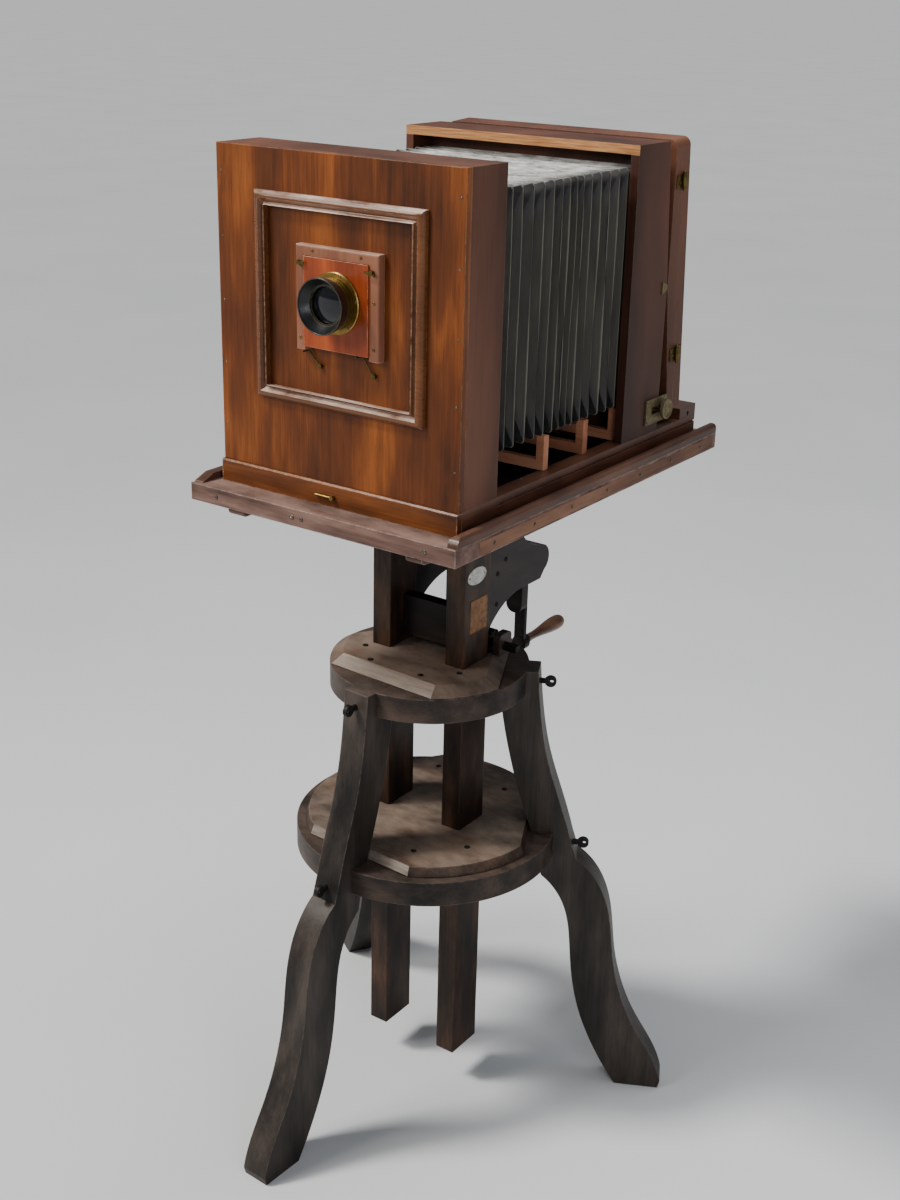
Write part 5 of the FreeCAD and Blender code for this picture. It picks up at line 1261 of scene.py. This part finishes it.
@dataclass
class RearStandard:
    """The sliding rear, its swing back, screen and brass."""

    finishes: Finishes

    def build(self) -> None:
        """Dresses the rear and adds knobs and screws."""
        self.finishes.on_nodes({
            "carriage": "bed", "rear_box": "rear", "swing_plates": "brass_plate",
            "focus_shaft": "brass", "back_frame": "box", "glass_frame": "box",
            "ground_glass": "screen", "hinge_leaves": "brass", "hinge_pintles": "brass"})
        self.knob("lock_knob", "lock", "brass_plate", 17.6, 2.0, 4.0)
        self.knob("focus_knob", "focus_gear", "brass", 15.8, 1.6, 5.7)
        self.plate_screws()
        self.hinge_screws()

    def knob(self, node: str, body: str, finish: str, radius: float, button: float,
             stem: float) -> None:
        """A milled brass knob with a dished face and a boss, in place of the CAD turning.

        Args:
            node: the CAD node that it stands for.
            body: what it moves with.
            finish: the name of its finish.
            radius: of its milled rim, millimetres.
            button: how deep the face is dished, millimetres.
            stem: radius of the shank behind the rim, millimetres; it clears its slot.
        """
        low, high = (np.asarray(c, float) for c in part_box(node))
        outward = 1.0 if (low[0] + high[0]) / 2 > 0 else -1.0
        seat = low[0] if outward > 0 else high[0]
        long = float(high[0] - low[0]) / MM
        rim = min(8.0, long * 0.7)
        profile = [(0.4, 0.0), (stem, 0.0), (stem, long - rim - 0.6), (radius - 1.4, long - rim),
                   (radius, long - rim + 1.0), (radius, long - 1.6), (radius - 1.2, long - 0.4),
                   (radius - 2.6, long - 0.2), (radius * 0.62, long - button),
                   (radius * 0.30, long - button), (radius * 0.26, long - 0.6),
                   (radius * 0.18, long - 0.1), (0.4, long)]

        def milling(index: np.ndarray, turn: np.ndarray) -> np.ndarray:
            """Ridges 0.5 mm deep round the rim."""
            return np.where((index == 4) | (index == 5), -0.5 * (np.cos(48 * turn) > 0), 0.0)

        centre = (float(seat), float(low[1] + high[1]) / 2, float(low[2] + high[2]) / 2)
        piece = lathe(node + "_milled", profile, centre, (outward, 0, 0), 192, milling,
                      ring=False)
        dress(piece, self.finishes[finish], body, "brass", node)

    def plate_screws(self) -> None:
        """Screws in the slotted plates and the small plate at the swing's pivot."""
        low, high = (np.asarray(c, float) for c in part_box("swing_plates"))
        heads = [Screw((s * (float(high[0]) - MID_X) + MID_X, float(y), float(z)), (s, 0, 0), 2.0)
                 for s in (-1, 1) for y, z in ((low[1] + 0.004, low[2] + 0.0045),
                                               (low[1] + 0.004, low[2] + 0.0385))]
        dress(screw_group("swing_plate_screws", heads, 41), self.finishes["steel"], "rear",
              "brass")

    def hinge_screws(self) -> None:
        """Three screws in each hinge leaf, on the back's right side."""
        low, high = (np.asarray(c, float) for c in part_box("hinge_pintles"))
        side = float(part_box("back_frame")[1][0])
        plate = 0.0016
        heads = []
        for z_mid, y_mid in ((float(high[2]) - 0.014, float(low[1]) + 0.010),
                             (float(low[2]) + 0.014, float(low[1]) + 0.026)):
            for dy, dz in ((-0.003, -0.006), (0.003, 0.0), (-0.003, 0.006)):
                heads.append(Screw((side + plate, y_mid + dy, z_mid + dz), (1, 0, 0), 1.5))
        dress(screw_group("hinge_screws", heads, 43), self.finishes["steel"], "swing_back",
              "brass")


# ---------------------------------------------------------------- studio

@dataclass
class Studio:
    """Pale floor, soft lights and the camera."""

    azimuth: float = 34.86
    elevation: float = 21.49
    roll: float = 1.41
    eye: tuple[float, float, float] = (1.4667, -2.0959, 1.9332)
    lens_mm: float = 48.06
    sensor_mm: float = 36.0

    def build(self) -> None:
        """Sets the floor, the lights, the air and the camera, which sees a paler air."""
        self.floor()
        self.sun((-0.62, -0.52, 0.98), 3.1, 11.0, "#fdfaf6")
        self.light("soft_box_left", (-1.3, -2.1, 2.7), (0.0, 0.0, 1.6), 0.9, 44.0, "#fff8f0")
        self.light("fill_right", (2.6, -1.9, 2.0), (0.0, 0.0, 0.7), 1.2, 27.0, "#f4f6ff")
        self.light("soft_box_top", (0.2, 0.6, 3.6), (0.0, 0.1, 1.2), 1.6, 46.0, "#ffffff")
        world = bpy.data.worlds.new("studio air")
        world.use_nodes = True
        tree = world.node_tree
        air = tree.nodes["Background"]
        air.inputs["Color"].default_value = linear("#c3c7cb")
        air.inputs["Strength"].default_value = 0.36
        seen = add(tree, "Background", {"Color": linear("#b1b2b2"), "Strength": 1.0})
        ray = add(tree, "LightPath")
        either = add(tree, "MixShader", {0: ray.outputs["Is Camera Ray"], 1: air.outputs[0],
                                         2: seen.outputs[0]})
        tree.links.new(either.outputs[0], tree.nodes["World Output"].inputs["Surface"])
        bpy.context.scene.world = world
        self.camera()

    def floor(self) -> None:
        """A wide pale floor of matt painted board with faint mottling."""
        size = 400.0
        points = np.array([(-size, -size, 0), (size, -size, 0), (size, size, 0),
                           (-size, size, 0)], float) - [0, 0, 0.0004]
        floor = mesh_piece("studio_floor", points, [(0, 1, 2, 3)], smooth=False)
        material, g, shader = new_material("studio_floor_paint")
        mottle = g.noise(g.stretched(g.place(), (900, 900, 900)), 4.0, 0.5)
        colour = g.mix(g.span(mottle, 0.3, 0.7), linear("#cfd2d4"), linear("#d6d8d9"))
        connect(g, shader, Base_Color=colour)
        shader.inputs["Roughness"].default_value = 0.75
        floor.data.materials.append(material)

    @staticmethod
    def sun(towards: tuple, strength: float, spread: float, colour: str) -> None:
        """A wide soft key that lights the floor evenly; towards points from the object to it."""
        data = bpy.data.lights.new("key", "SUN")
        data.energy = strength
        data.angle = math.radians(spread)
        data.color = linear(colour)[:3]
        lamp = bpy.data.objects.new("key", data)
        lamp.rotation_euler = (-Vector(towards)).to_track_quat("-Z", "Y").to_euler()
        bpy.context.scene.collection.objects.link(lamp)

    @staticmethod
    def light(name: str, place: tuple, target: tuple, size: float, watts: float,
              colour: str) -> None:
        """A square soft box that faces a point."""
        data = bpy.data.lights.new(name, "AREA")
        data.size = size
        data.energy = watts
        data.color = linear(colour)[:3]
        lamp = bpy.data.objects.new(name, data)
        lamp.location = place
        lamp.rotation_euler = (Vector(target) - Vector(place)).to_track_quat("-Z", "Y").to_euler()
        bpy.context.scene.collection.objects.link(lamp)

    def camera(self) -> None:
        """The camera: its back points along azimuth and elevation, then it rolls."""
        a, e, r = (math.radians(v) for v in (self.azimuth, self.elevation, self.roll))
        back = Vector((math.sin(a) * math.cos(e), -math.cos(a) * math.cos(e), math.sin(e)))
        right = Vector((0, 0, 1)).cross(back).normalized()
        up = back.cross(right)
        right, up = (right * math.cos(r) + up * math.sin(r),
                     up * math.cos(r) - right * math.sin(r))
        data = bpy.data.cameras.new("view")
        data.lens = self.lens_mm
        data.sensor_width = self.sensor_mm
        data.sensor_height = self.sensor_mm
        data.sensor_fit = "AUTO"
        data.clip_end = 900.0
        camera = bpy.data.objects.new("view", data)
        turn = Matrix((right, up, back)).transposed().to_4x4()
        camera.matrix_world = Matrix.Translation(self.eye) @ turn
        bpy.context.scene.collection.objects.link(camera)
        bpy.context.scene.camera = camera


def main() -> None:
    """Builds the sub-assemblies in order."""
    Studio().build()
    finishes = Finishes()
    for part in (Stand, Column, Platform, FrontStandard, Lens, Bellows, RearStandard):
        part(finishes).build()
        LOG.info("%s done", part.__name__)


if __name__ == "__main__":
    main()
